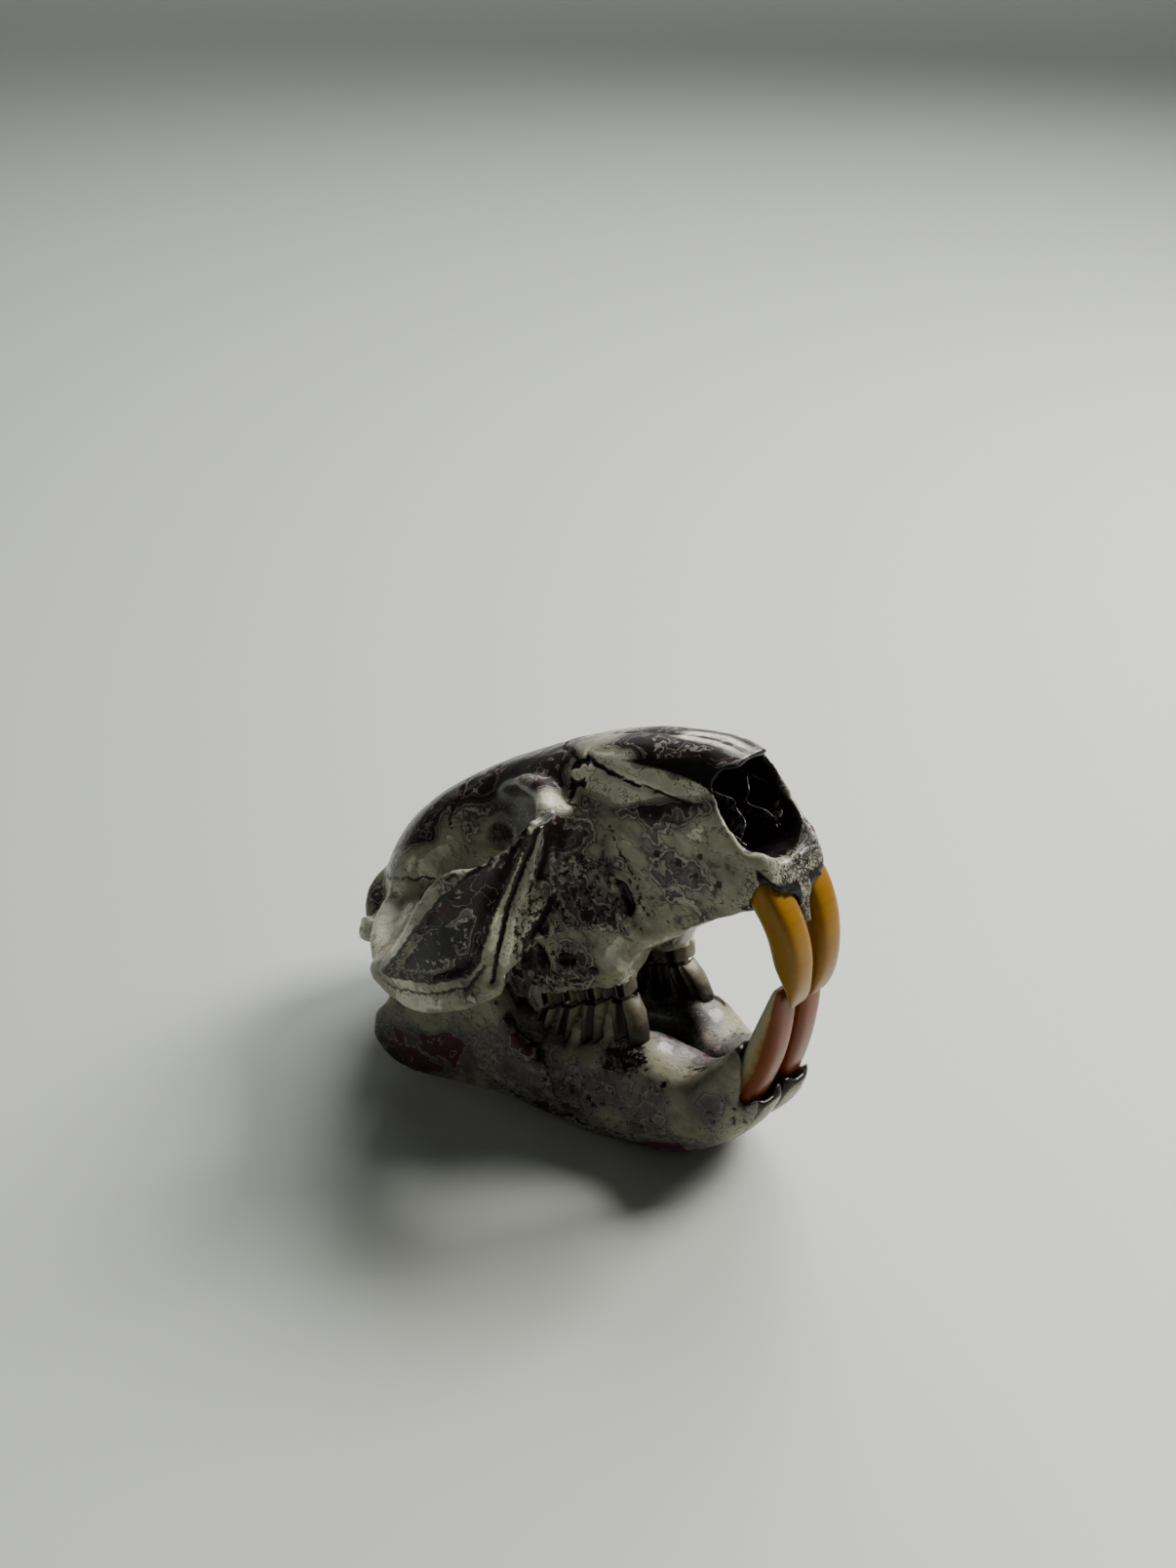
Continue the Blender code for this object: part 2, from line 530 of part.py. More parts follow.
def arc_tooth(name, arc, depth, width, centre, group, room=0.0, front_room=0.0, reach=0.0):
    """Curved gnawing tooth, or its socket where room is more than none."""
    turn = 1 if arc["root"] > arc["tip"] else -1
    length = abs(math.radians(arc["root"] - arc["tip"])) * arc["radius"]
    rings = []
    for s in spans(0 if room == 0 else -reach, length + room, (length + room) / INCISOR_STEPS):
        angle = math.radians(arc["tip"]) + turn * s / arc["radius"]
        out = Vector((math.cos(angle), 0, math.sin(angle)))
        hub = Vector((arc["centre"][0], 0, arc["centre"][1]))
        front = hub + out * (arc["radius"] + room + front_room)
        deep = along(depth, s) + 2 * room + front_room
        wide = along(width, s) + 2 * room
        ring = []
        for k in range(INCISOR_SIDES):
            a = 2 * math.pi * (k + 0.5) / INCISOR_SIDES
            inward = 0.5 - 0.5 * power(math.cos(a), 0.62)
            narrow = 1 - 0.22 * inward
            across = 0.5 * wide * narrow * power(math.sin(a), 0.62)
            ring.append(front - out * deep * inward + Vector((0, along(centre, s) + across, 0)))
        rings.append(ring)
    return loft(name, rings, group)


def cheek_tooth(name, sizes, crown, lean, group, flutes):
    """Fluted column of one cheek tooth, its root sunk into the bone."""
    x, length, y, width = sizes
    rings = []
    bite, root = crown
    rise = math.copysign(1, root - bite)
    for height, grow in ((0, 0.90), (0.5, 0.98), (abs(root - bite) * 0.5, 1.0), (abs(root - bite), 0.9)):
        z = bite + rise * height
        ring = []
        for k in range(CHEEK_TOOTH_SIDES):
            a = 2 * math.pi * k / CHEEK_TOOTH_SIDES
            flute = 1 - CHEEK_TOOTH_FLUTE * (1 + math.cos(flutes * a))
            ahead = power(math.cos(a), 0.7)
            across = power(math.sin(a), 0.7) * (1 - CHEEK_TOOTH_NARROW * ahead)
            ring.append(Vector((x + grow * flute * 0.5 * length * ahead + lean[0] * height,
                                y + grow * flute * 0.5 * width * across + lean[1] * height, z)))
        rings.append(ring)
    return loft(name, rings, group)


def set_on_floor(nodes):
    """Pitch every node nose up, scale it to metres and stand it on the floor at the origin."""
    pitch = Matrix.Rotation(math.radians(-NOSE_UP_DEGREES), 4, "Y")
    for item in nodes:
        item.data.transform(pitch)
    points = [vert.co for item in nodes for vert in item.data.vertices]
    floor = min(p.z for p in points) + FOOT_FLAT
    middle_x = 0.5 * (min(p.x for p in points) + max(p.x for p in points))
    middle_y = 0.5 * (min(p.y for p in points) + max(p.y for p in points))
    for item in nodes:
        item.data.transform(Matrix.Translation((-middle_x, -middle_y, -floor)))
        if min(vert.co.z for vert in item.data.vertices) < 0:
            below = collection("below_floor")
            plate("below", [(-90, -90), (90, -90), (90, 90), (-90, 90)], 20,
                  lambda x, y, w: Vector((x, y, w - 10)), below, cell=200)
            boolean(item, below, "DIFFERENCE")
            keep_largest(item)
        item.data.transform(Matrix.Scale(METRES_PER_MM, 4))
        item.data.update()


def finish(item, colour, roughness):
    """Give a node its material and smooth shading."""
    material = bpy.data.materials.new(item.name + "_finish")
    material.use_nodes = True
    surface = material.node_tree.nodes["Principled BSDF"]
    surface.inputs["Base Color"].default_value = colour
    surface.inputs["Roughness"].default_value = roughness
    surface.inputs["Metallic"].default_value = 0.0
    item.data.materials.clear()
    item.data.materials.append(material)
    item.data.shade_smooth()
    item.data.set_sharp_from_angle(angle=math.radians(50))


def build():
    """Model every node of the skull."""
    clear_scene()
    parts = collection("beaver_skull")
    cranium = cranium_bone(parts)
    jaw = jaw_bone(parts)

    sockets = collection("upper_sockets")
    arc_tooth("socket", UPPER_ARC, UPPER_DEPTH, UPPER_WIDTH, UPPER_CENTRE, sockets, room=GAP, reach=3.0)
    mirror_all(sockets)
    boolean(cranium, sockets, "DIFFERENCE")
    teeth = collection("upper_cheek_teeth")
    for k, sizes in enumerate(UPPER_CHEEK):
        cheek_tooth(f"upper_cheek_{k}", sizes, UPPER_CROWN, UPPER_LEAN, teeth, 5)
    mirror_all(teeth)
    boolean(cranium, teeth, "UNION")
    keep_largest(cranium)

    jaw_cut = collection("jaw_cut")
    plate("symphysis", [(40, -60), (140, -60), (140, 20), (40, 20)], 30,
          lambda x, z, w: Vector((x, w + 15 - SYMPHYSIS_HALF_GAP, z)), jaw_cut, cell=200)
    arc_tooth("socket", LOWER_ARC, LOWER_DEPTH, LOWER_WIDTH, LOWER_CENTRE, jaw_cut, room=GAP,
              front_room=LOWER_SOCKET_ROOM, reach=3.0)
    boolean(jaw, jaw_cut, "DIFFERENCE")
    teeth = collection("lower_cheek_teeth")
    for k, sizes in enumerate(LOWER_CHEEK):
        cheek_tooth(f"lower_cheek_{k}", sizes, LOWER_CROWN, LOWER_LEAN, teeth, 6)
    boolean(jaw, teeth, "UNION")
    keep_largest(jaw)

    upper = arc_tooth("upper_incisor_right", UPPER_ARC, UPPER_DEPTH, UPPER_WIDTH, UPPER_CENTRE, parts)
    lower = arc_tooth("lower_incisor_right", LOWER_ARC, LOWER_DEPTH, LOWER_WIDTH, LOWER_CENTRE, parts)
    nodes = [(cranium, BONE_COLOUR, 0.3), (jaw, JAW_COLOUR, 0.3), (upper, UPPER_ENAMEL, 0.25),
             (lower, LOWER_ENAMEL, 0.25)]
    for item, colour, roughness in nodes[1:]:
        twin = mirror_copy(item, item.name.replace("right", "left"), parts)
        nodes.append((twin, colour, roughness))
    set_on_floor([node[0] for node in nodes])
    for item, colour, roughness in nodes:
        finish(item, colour, roughness)


build()
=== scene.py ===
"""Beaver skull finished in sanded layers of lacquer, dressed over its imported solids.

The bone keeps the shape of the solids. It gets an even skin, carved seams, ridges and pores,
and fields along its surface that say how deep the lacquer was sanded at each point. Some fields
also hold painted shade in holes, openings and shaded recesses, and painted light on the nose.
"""
import logging
import math
from dataclasses import dataclass, field
from enum import Enum
from typing import Callable, Iterable, Sequence

import bpy
import numpy as np
from mathutils import Matrix, Vector, noise


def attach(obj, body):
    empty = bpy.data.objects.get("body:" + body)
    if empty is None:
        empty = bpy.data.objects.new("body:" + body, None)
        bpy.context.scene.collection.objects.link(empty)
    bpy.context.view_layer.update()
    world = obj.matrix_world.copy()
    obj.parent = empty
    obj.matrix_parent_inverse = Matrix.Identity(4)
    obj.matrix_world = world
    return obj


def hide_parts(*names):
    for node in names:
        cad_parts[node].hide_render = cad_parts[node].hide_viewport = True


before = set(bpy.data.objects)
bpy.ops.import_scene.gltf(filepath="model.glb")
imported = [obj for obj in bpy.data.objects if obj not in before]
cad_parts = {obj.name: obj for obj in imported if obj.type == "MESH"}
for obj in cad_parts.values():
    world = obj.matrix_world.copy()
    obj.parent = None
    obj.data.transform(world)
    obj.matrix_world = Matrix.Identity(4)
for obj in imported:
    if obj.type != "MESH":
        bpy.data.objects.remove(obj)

LOG = logging.getLogger("beaver_skull")
MM = 0.001
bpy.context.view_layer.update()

Colour = tuple[float, float, float, float]
Points = np.ndarray


class Side(Enum):
    """Side of the animal, with the sign of y on it."""

    RIGHT = -1
    LEFT = 1

    @property
    def word(self) -> str:
        """Name of the side as the CAD nodes spell it."""
        return self.name.lower()


@dataclass(frozen=True)
class Stance:
    """Where the skull's own frame, in millimetres, lies on the floor."""

    pitch_degrees: float = 26.5
    offset_mm: tuple[float, float, float] = (-51.211, 0.0, 3.084)

    def turn(self) -> Points:
        """Rotation from the skull's frame to the floor's."""
        p = math.radians(self.pitch_degrees)
        return np.array([[math.cos(p), 0, -math.sin(p)], [0, 1, 0], [math.sin(p), 0, math.cos(p)]])

    def to_floor(self, points: Sequence | Points) -> Points:
        """Place points of the skull's frame on the floor.

        Args:
            points: One point or rows of points, in millimetres.

        Returns:
            The same points in metres, in the scene.
        """
        return (np.asarray(points, float) @ self.turn().T + self.offset_mm) * MM

    def to_skull(self, points: Points) -> Points:
        """Read scene points in the skull's own frame.

        Args:
            points: Rows of points in metres.

        Returns:
            The rows in millimetres: x forward, y left, z up from the chewing plane.
        """
        return (points / MM - self.offset_mm) @ self.turn()

    def direction(self, vectors: Points) -> Points:
        """Turn scene directions into the skull's frame.

        Args:
            vectors: Rows of directions in the scene.

        Returns:
            The rows in the skull's frame.
        """
        return vectors @ self.turn()


STANCE = Stance()


def linear(code: str) -> Colour:
    """Turn an sRGB hex code into a linear colour.

    Args:
        code: Six hex digits, with or without a leading #.

    Returns:
        Red, green, blue and alpha for a shader socket.
    """
    parts = [int(code.lstrip("#")[k:k + 2], 16) / 255 for k in (0, 2, 4)]
    bent = [c / 12.92 if c <= 0.04045 else ((c + 0.055) / 1.055) ** 2.4 for c in parts]
    return (*bent, 1.0)


def smooth(low: float, high: float, values: Points) -> Points:
    """Ease from 0 at low to 1 at high.

    Args:
        low: Where the result is 0.
        high: Where the result is 1, above or below low.
        values: What is read.

    Returns:
        The eased share for each value.
    """
    t = np.clip((values - low) / (high - low), 0, 1)
    return t * t * (3 - 2 * t)


def rough(points: Points, size: float, seed: float = 0.0) -> Points:
    """Soft noise from -1 to 1 over points.

    Args:
        points: Rows of points in millimetres.
        size: Rough size of one swell, in millimetres.
        seed: Shift that gives another pattern.

    Returns:
        One value for each row.
    """
    return np.array([noise.noise(Vector(p)) for p in points / size + seed])


def polyline_distance(flat: Points, line: Sequence[tuple[float, float]], closed: bool = False) -> Points:
    """Distance of flat points from a bent line.

    Args:
        flat: Rows of two coordinates.
        line: The line's corners.
        closed: Whether the last corner joins the first.

    Returns:
        One distance for each row.
    """
    corners = list(line) + ([line[0]] if closed else [])
    best = np.full(len(flat), 1e9)
    for a, b in zip(corners, corners[1:]):
        a, b = np.array(a, float), np.array(b, float)
        run = b - a
        t = np.clip(((flat - a) @ run) / (run @ run), 0, 1)
        best = np.minimum(best, np.linalg.norm(flat - a - t[:, None] * run, axis=1))
    return best


def inside_outline(flat: Points, outline: Sequence[tuple[float, float]]) -> Points:
    """Whether flat points lie inside a closed outline.

    Args:
        flat: Rows of two coordinates.
        outline: Corners of the outline.

    Returns:
        True for each row inside.
    """
    result = np.zeros(len(flat), bool)
    for (ax, ay), (bx, by) in zip(outline, list(outline[1:]) + [outline[0]]):
        crosses = (ay > flat[:, 1]) != (by > flat[:, 1])
        spread = (by - ay) if by != ay else 1e-9
        result ^= crosses & (flat[:, 0] < (bx - ax) * (flat[:, 1] - ay) / spread + ax)
    return result


# Modelling


def pick(*pieces: bpy.types.Object) -> None:
    """Select only these objects, the last one active."""
    if bpy.context.object and bpy.context.object.mode != "OBJECT":
        bpy.ops.object.mode_set(mode="OBJECT")
    bpy.ops.object.select_all(action="DESELECT")
    for piece in pieces:
        piece.select_set(True)
        bpy.context.view_layer.objects.active = piece


def apply_modifier(piece: bpy.types.Object, kind: str, **settings: object) -> None:
    """Add a modifier with its settings and apply it.

    Args:
        piece: The object it works on.
        kind: Blender's name of the modifier.
        settings: Values of the modifier.
    """
    pick(piece)
    modifier = piece.modifiers.new(kind.title(), kind)
    for key, value in settings.items():
        setattr(modifier, key, value)
    bpy.ops.object.modifier_apply(modifier=modifier.name)


def read_points(piece: bpy.types.Object) -> Points:
    """Vertex places of a piece, in metres."""
    rows = np.empty(len(piece.data.vertices) * 3, np.float32)
    piece.data.vertices.foreach_get("co", rows)
    return rows.reshape(-1, 3).astype(float)


def read_normals(piece: bpy.types.Object) -> Points:
    """Vertex normals of a piece."""
    rows = np.empty(len(piece.data.vertices) * 3, np.float32)
    piece.data.vertex_normals.foreach_get("vector", rows)
    return rows.reshape(-1, 3).astype(float)


def write_points(piece: bpy.types.Object, points: Points) -> None:
    """Move a piece's vertices to new places, in metres."""
    piece.data.vertices.foreach_set("co", points.astype(np.float32).ravel())
    piece.data.update()


def write_field(piece: bpy.types.Object, name: str, values: Points) -> None:
    """Store one number at each vertex for the material to read."""
    layer = piece.data.attributes.new(name, "FLOAT", "POINT")
    layer.data.foreach_set("value", values.astype(np.float32))


def finish_piece(piece: bpy.types.Object, material: bpy.types.Material, slot: str, *nodes: str) -> None:
    """Give a piece its material and body, and hide the CAD nodes it stands for.

    Args:
        piece: The finished object.
        material: Its only material.
        slot: Not used.
        nodes: CAD nodes that it replaces.
    """
    piece.data.materials.clear()
    piece.data.materials.append(material)
    pick(piece)
    bpy.ops.object.shade_smooth()
    if nodes:
        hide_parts(*nodes)
    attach(piece, "root")
    LOG.info("%s: %d faces", piece.name, len(piece.data.polygons))


# Finishes


def add(tree: bpy.types.NodeTree, kind: str, links: dict | None = None, **settings: object) -> bpy.types.Node:
    """Add a shader node with its settings and links.

    Args:
        tree: The material's node tree.
        kind: Node type without the ShaderNode prefix.
        links: Input name or number to an output socket, or to a plain value.
        settings: Properties of the node.

    Returns:
        The new node.
    """
    node = tree.nodes.new("ShaderNode" + kind)
    for key, value in settings.items():
        setattr(node, key, value)
    for key, value in (links or {}).items():
        socket = node.inputs[key]
        if isinstance(value, bpy.types.NodeSocket):
            tree.links.new(value, socket)
        else:
            socket.default_value = value
    return node


def new_material(name: str) -> tuple[bpy.types.Material, bpy.types.NodeTree, bpy.types.Node]:
    """Start a material.

    Args:
        name: Name of the finish.

    Returns:
        The material, its tree and its Principled shader.
    """
    material = bpy.data.materials.new(name)
    material.use_nodes = True
    return material, material.node_tree, material.node_tree.nodes["Principled BSDF"]


def fill_ramp(ramp: bpy.types.Node, bands: Sequence[tuple[float, str]], sharp: bool = False) -> None:
    """Set a colour ramp's stops.

    Args:
        ramp: The ramp node.
        bands: Place and hex colour of each stop.
        sharp: Whether each colour runs flat up to the next.
    """
    strip = ramp.color_ramp
    strip.interpolation = "CONSTANT" if sharp else "LINEAR"
    while len(strip.elements) > 1:
        strip.elements.remove(strip.elements[-1])
    strip.elements[0].position = bands[0][0]
    strip.elements[0].color = linear(bands[0][1])
    for place, code in bands[1:]:
        strip.elements.new(place).color = linear(code)


@dataclass(frozen=True)
class LayeredLacquer:
    """Coats of coloured lacquer on bone, sanded through unevenly and then clear-coated.

    Where the sanding went deep the pale first coat shows; elsewhere the later coats lie
    round each other as thin rings, as in any wood or bone finished this way. In places the level
    that picks the coat carries painted light in some places and painted shade in others.
    """

    name: str
    coats: tuple[tuple[float, str], ...]
    swell_mm: float = 17.0
    ripple_mm: float = 4.6
    swell_share: float = 0.22
    ripple_share: float = 0.11
    wash_share: float = 0.55
    vein_share: float = 0.8
    grit_mm: float = 0.8
    speck_mm: float = 1.5
    roughness: float = 0.34

    def make(self) -> bpy.types.Material:
        """Build the node material."""
        material, tree, shader = new_material(self.name)
        place = add(tree, "TexCoord").outputs["Object"]
        warp = add(tree, "TexNoise", {"Vector": place, "Scale": 1 / (0.011), "Detail": 3.0, "Roughness": 0.6})
        bend = add(tree, "VectorMath", {0: warp.outputs["Color"], 1: (0.5, 0.5, 0.5)}, operation="SUBTRACT")
        size = add(tree, "VectorMath", {0: bend.outputs[0], "Scale": 0.007}, operation="SCALE")
        bent = add(tree, "VectorMath", {0: place, 1: size.outputs[0]}, operation="ADD").outputs[0]
        swell = add(tree, "TexNoise", {"Vector": bent, "Scale": 1 / (self.swell_mm * MM), "Detail": 1.5,
                                       "Roughness": 0.5})
        ripple = add(tree, "TexNoise", {"Vector": bent, "Scale": 1 / (self.ripple_mm * MM), "Detail": 2.5,
                                        "Roughness": 0.55})
        level = add(tree, "Attribute", attribute_name="level").outputs["Fac"]
        wave = add(tree, "MapRange", {"Value": swell.outputs["Fac"], "From Min": 0.3, "From Max": 0.7,
                                      "To Min": -self.swell_share, "To Max": self.swell_share}, clamp=False)
        chop = add(tree, "MapRange", {"Value": ripple.outputs["Fac"], "From Min": 0.3, "From Max": 0.7,
                                      "To Min": -self.ripple_share, "To Max": self.ripple_share}, clamp=False)
        total = add(tree, "Math", {0: level, 1: wave.outputs[0]}, operation="ADD").outputs[0]
        total = add(tree, "Math", {0: total, 1: chop.outputs[0]}, operation="ADD", use_clamp=True).outputs[0]
        coats = add(tree, "ValToRGB", {"Fac": total})
        fill_ramp(coats, self.coats)

        # Cloudy pale coat: a slow drift of tone that keeps large plain areas from looking flat
        cloud = add(tree, "TexNoise", {"Vector": place, "Scale": 1 / 0.009, "Detail": 5.0, "Roughness": 0.65})
        drift = add(tree, "MapRange", {"Value": cloud.outputs["Fac"], "From Min": 0.3, "From Max": 0.75,
                                       "To Min": 1.08, "To Max": 0.80})
        toned = add(tree, "VectorMath", {0: coats.outputs["Color"], "Scale": drift.outputs[0]}, operation="SCALE")

        # Grey wash and thin dark veins, drawn out along the length of the skull
        drawn = add(tree, "VectorMath", {0: bent, 1: (0.42, 1.0, 0.75)}, operation="MULTIPLY")
        wash = add(tree, "TexNoise", {"Vector": drawn.outputs[0], "Scale": 1 / 0.0055, "Detail": 6.0,
                                      "Roughness": 0.68}).outputs["Fac"]
        veil = add(tree, "MapRange", {"Value": wash, "From Min": 0.45, "From Max": 0.68,
                                      "To Min": 0.0, "To Max": self.wash_share}).outputs[0]
        washed = add(tree, "Mix", {"Factor": veil, 6: toned.outputs[0], 7: linear("#3c3735")},
                     data_type="RGBA").outputs[2]
        middle = add(tree, "Math", {0: wash, 1: 0.46}, operation="SUBTRACT").outputs[0]
        away = add(tree, "Math", {0: middle}, operation="ABSOLUTE").outputs[0]
        vein = add(tree, "MapRange", {"Value": away, "From Min": 0.003, "From Max": 0.014,
                                      "To Min": self.vein_share, "To Max": 0.0}).outputs[0]
        veined = add(tree, "Mix", {"Factor": vein, 6: washed, 7: linear("#2f2729")}, data_type="RGBA").outputs[2]

        # Grit: open pores and rubbed flecks where the bone was rough under the coats
        grain = add(tree, "Attribute", attribute_name="grain").outputs["Fac"]
        fleck = add(tree, "TexNoise", {"Vector": place, "Scale": 1 / (self.grit_mm * MM), "Detail": 3.0,
                                       "Roughness": 0.7})
        patch = add(tree, "TexNoise", {"Vector": place, "Scale": 1 / 0.005, "Detail": 2.0, "Roughness": 0.5})
        reach = add(tree, "Math", {0: patch.outputs["Fac"], 1: 0.45, 2: fleck.outputs["Fac"]},
                    operation="MULTIPLY_ADD").outputs[0]
        cut = add(tree, "MapRange", {"Value": grain, "From Min": 0.0, "From Max": 1.0,
                                     "To Min": 1.05, "To Max": 0.66}).outputs[0]
        over = add(tree, "Math", {0: reach, 1: cut}, operation="SUBTRACT").outputs[0]
        gritty = add(tree, "MapRange", {"Value": over, "From Min": 0.0, "From Max": 0.035}).outputs[0]
        hue = add(tree, "ValToRGB", {"Fac": fleck.outputs["Fac"]})
        fill_ramp(hue, ((0.40, "#1b1718"), (0.52, "#2c2829"), (0.60, "#77746f"), (0.70, "#b8b4a6")))
        flecked = add(tree, "Mix", {"Factor": gritty, 6: veined, 7: hue.outputs["Color"]},
                      data_type="RGBA").outputs[2]

        # Specks: crisp black lacquer left in the finest pores, closer together as the field rises
        pore = add(tree, "TexNoise", {"Vector": place, "Scale": 1 / (self.speck_mm * MM), "Detail": 4.0,
                                      "Roughness": 0.72}).outputs["Fac"]
        speck = add(tree, "Attribute", attribute_name="speck").outputs["Fac"]
        dense = add(tree, "Math", {0: pore, 1: speck}, operation="ADD").outputs[0]
        black = add(tree, "MapRange", {"Value": dense, "From Min": 0.985, "From Max": 1.03}).outputs[0]
        flecked = add(tree, "Mix", {"Factor": black, 6: flecked, 7: linear("#171213")}, data_type="RGBA").outputs[2]

        # Seams and pits: dark lacquer left in the sutures and grooves, and painted shade in pits, holes,
        # sockets, the nose opening and shaded recesses
        deep = add(tree, "Attribute", attribute_name="hollow").outputs["Fac"]
        stain = add(tree, "Math", {0: fleck.outputs["Fac"], 1: 0.5, 2: deep}, operation="MULTIPLY_ADD").outputs[0]
        held = add(tree, "MapRange", {"Value": stain, "From Min": 0.60, "From Max": 0.95}).outputs[0]
        final = add(tree, "Mix", {"Factor": held, 6: flecked, 7: linear("#1b1516")}, data_type="RGBA").outputs[2]
        tree.links.new(final, shader.inputs["Base Color"])

        matt = add(tree, "MapRange", {"Value": cloud.outputs["Fac"], "From Min": 0.3, "From Max": 0.7,
                                      "To Min": self.roughness - 0.08, "To Max": self.roughness + 0.14})
        tree.links.new(matt.outputs[0], shader.inputs["Roughness"])
        relief = add(tree, "Math", {0: gritty, 1: -0.7, 2: cloud.outputs["Fac"]}, operation="MULTIPLY_ADD")
        bump = add(tree, "Bump", {"Height": relief.outputs[0], "Distance": 0.00018, "Strength": 0.55})
        tree.links.new(bump.outputs[0], shader.inputs["Normal"])
        shader.inputs["IOR"].default_value = 1.36
        shader.inputs["Specular IOR Level"].default_value = 0.25
        shader.inputs["Coat Weight"].default_value = 0.28
        shader.inputs["Coat Roughness"].default_value = 0.1
        return material


@dataclass(frozen=True)
class ToothEnamel:
    """Iron-stained enamel on the front of a gnawing tooth, ivory-white on its sides."""

    name: str
    rich: str
    deep: str
    side: str
    roughness: float = 0.32

    def make(self) -> bpy.types.Material:
        """Build the node material."""
        material, tree, shader = new_material(self.name)
        place = add(tree, "TexCoord").outputs["Object"]
        front = add(tree, "Attribute", attribute_name="front").outputs["Fac"]
        along = add(tree, "Attribute", attribute_name="along").outputs["Fac"]
        cloud = add(tree, "TexNoise", {"Vector": place, "Scale": 1 / 0.006, "Detail": 4.0, "Roughness": 0.6})
        streak = add(tree, "TexNoise", {"Vector": add(tree, "CombineXYZ", {0: along, 1: front}).outputs[0],
                                        "Scale": 9.0, "Detail": 4.0, "Roughness": 0.6})
        edge = add(tree, "Math", {0: cloud.outputs["Fac"], 1: 0.22, 2: front}, operation="MULTIPLY_ADD").outputs[0]
        mixed = add(tree, "ValToRGB", {"Fac": edge})
        fill_ramp(mixed, ((0.30, self.side), (0.46, "#b5a376"), (0.60, self.rich), (0.95, self.deep)))
        shade = add(tree, "MapRange", {"Value": streak.outputs["Fac"], "From Min": 0.3, "From Max": 0.7,
                                       "To Min": 0.88, "To Max": 1.1})
        toned = add(tree, "VectorMath", {0: mixed.outputs["Color"], "Scale": shade.outputs[0]}, operation="SCALE")
        tree.links.new(toned.outputs[0], shader.inputs["Base Color"])
        bump = add(tree, "Bump", {"Height": streak.outputs["Fac"], "Distance": 0.00006, "Strength": 0.4})
        tree.links.new(bump.outputs[0], shader.inputs["Normal"])
        shader.inputs["Roughness"].default_value = self.roughness
        shader.inputs["IOR"].default_value = 1.45
        shader.inputs["Specular IOR Level"].default_value = 0.3
        shader.inputs["Coat Weight"].default_value = 0.06
        shader.inputs["Coat Roughness"].default_value = 0.2
        shader.inputs["Subsurface Weight"].default_value = 0.05
        shader.inputs["Subsurface Scale"].default_value = 0.002
        return material


@dataclass(frozen=True)
class CheekToothIvory:
    """Folded cheek teeth: ivory columns, drawn brown-black down in the folds and on the bite face, and darker down the
    lower teeth as painted shade.
    """

    name: str = "cheek_tooth_ivory"

    def make(self) -> bpy.types.Material:
        """Build the node material."""
        material, tree, shader = new_material(self.name)
        place = add(tree, "TexCoord").outputs["Object"]
        fold = add(tree, "Attribute", attribute_name="fold").outputs["Fac"]
        cloud = add(tree, "TexNoise", {"Vector": place, "Scale": 1 / 0.0025, "Detail": 4.0, "Roughness": 0.65})
        stain = add(tree, "Math", {0: cloud.outputs["Fac"], 1: 0.55, 2: fold}, operation="MULTIPLY_ADD").outputs[0]
        ramp = add(tree, "ValToRGB", {"Fac": stain})
        fill_ramp(ramp, ((0.18, "#8f8670"), (0.40, "#6d6452"), (0.58, "#3d352c"), (0.75, "#110d0b")))
        tree.links.new(ramp.outputs["Color"], shader.inputs["Base Color"])
        bump = add(tree, "Bump", {"Height": cloud.outputs["Fac"], "Distance": 0.0001, "Strength": 0.4})
        tree.links.new(bump.outputs[0], shader.inputs["Normal"])
        shader.inputs["Roughness"].default_value = 0.45
        shader.inputs["IOR"].default_value = 1.35
        shader.inputs["Coat Weight"].default_value = 0.1
        shader.inputs["Coat Roughness"].default_value = 0.2
        return material


@dataclass(frozen=True)
class StudioPaper:
    """Pale seamless board with a faint satin skin."""

    name: str = "studio_board"
    colour: str = "#c8cdc5"

    def make(self) -> bpy.types.Material:
        """Build the node material."""
        material, tree, shader = new_material(self.name)
        place = add(tree, "TexCoord").outputs["Object"]
        fibre = add(tree, "TexNoise", {"Vector": place, "Scale": 900.0, "Detail": 2.0})
        bump = add(tree, "Bump", {"Height": fibre.outputs["Fac"], "Distance": 0.0001, "Strength": 0.05})
        tree.links.new(bump.outputs[0], shader.inputs["Normal"])
        shader.inputs["Base Color"].default_value = linear(self.colour)
        shader.inputs["Roughness"].default_value = 0.42
        return material


# The first, palest stop is brighter than the sanded cream and partly painted light: the nasal patches below zero level
# reach it to light the nasal bones' upper side.
PALE_TO_DARK = (
    (0.00, "#f0ead4"), (0.05, "#b3ad97"), (0.20, "#a8a28d"), (0.28, "#918c7e"), (0.315, "#4a4448"), (0.33, "#b6b2a1"),
    (0.355, "#a29d8e"), (0.37, "#332d30"), (0.39, "#615d5e"), (0.44, "#706d69"), (0.455, "#b2ac9d"),
    (0.475, "#43252c"), (0.52, "#371a21"), (0.545, "#1f1719"), (0.58, "#1c1517"), (0.59, "#9d918b"),
    (0.60, "#211819"), (0.68, "#171113"), (0.76, "#1c1416"), (0.775, "#a0978f"), (0.79, "#40202a"),
    (0.83, "#2e181f"), (0.85, "#a39c92"), (0.87, "#191214"), (1.00, "#120e0f"))
JAW_COATS = (
    (0.00, "#a39d88"), (0.18, "#958f7c"), (0.27, "#827d72"), (0.32, "#5f5a5b"), (0.335, "#9f9b8c"),
    (0.35, "#767270"), (0.43, "#676263"), (0.47, "#5c4f57"), (0.50, "#9c948a"), (0.515, "#62323e"),
    (0.60, "#562434"), (0.67, "#48202c"), (0.69, "#8b817e"), (0.705, "#2c1821"), (0.80, "#1f1619"),
    (0.90, "#5c3941"), (1.00, "#22161b"))


# Sculpting

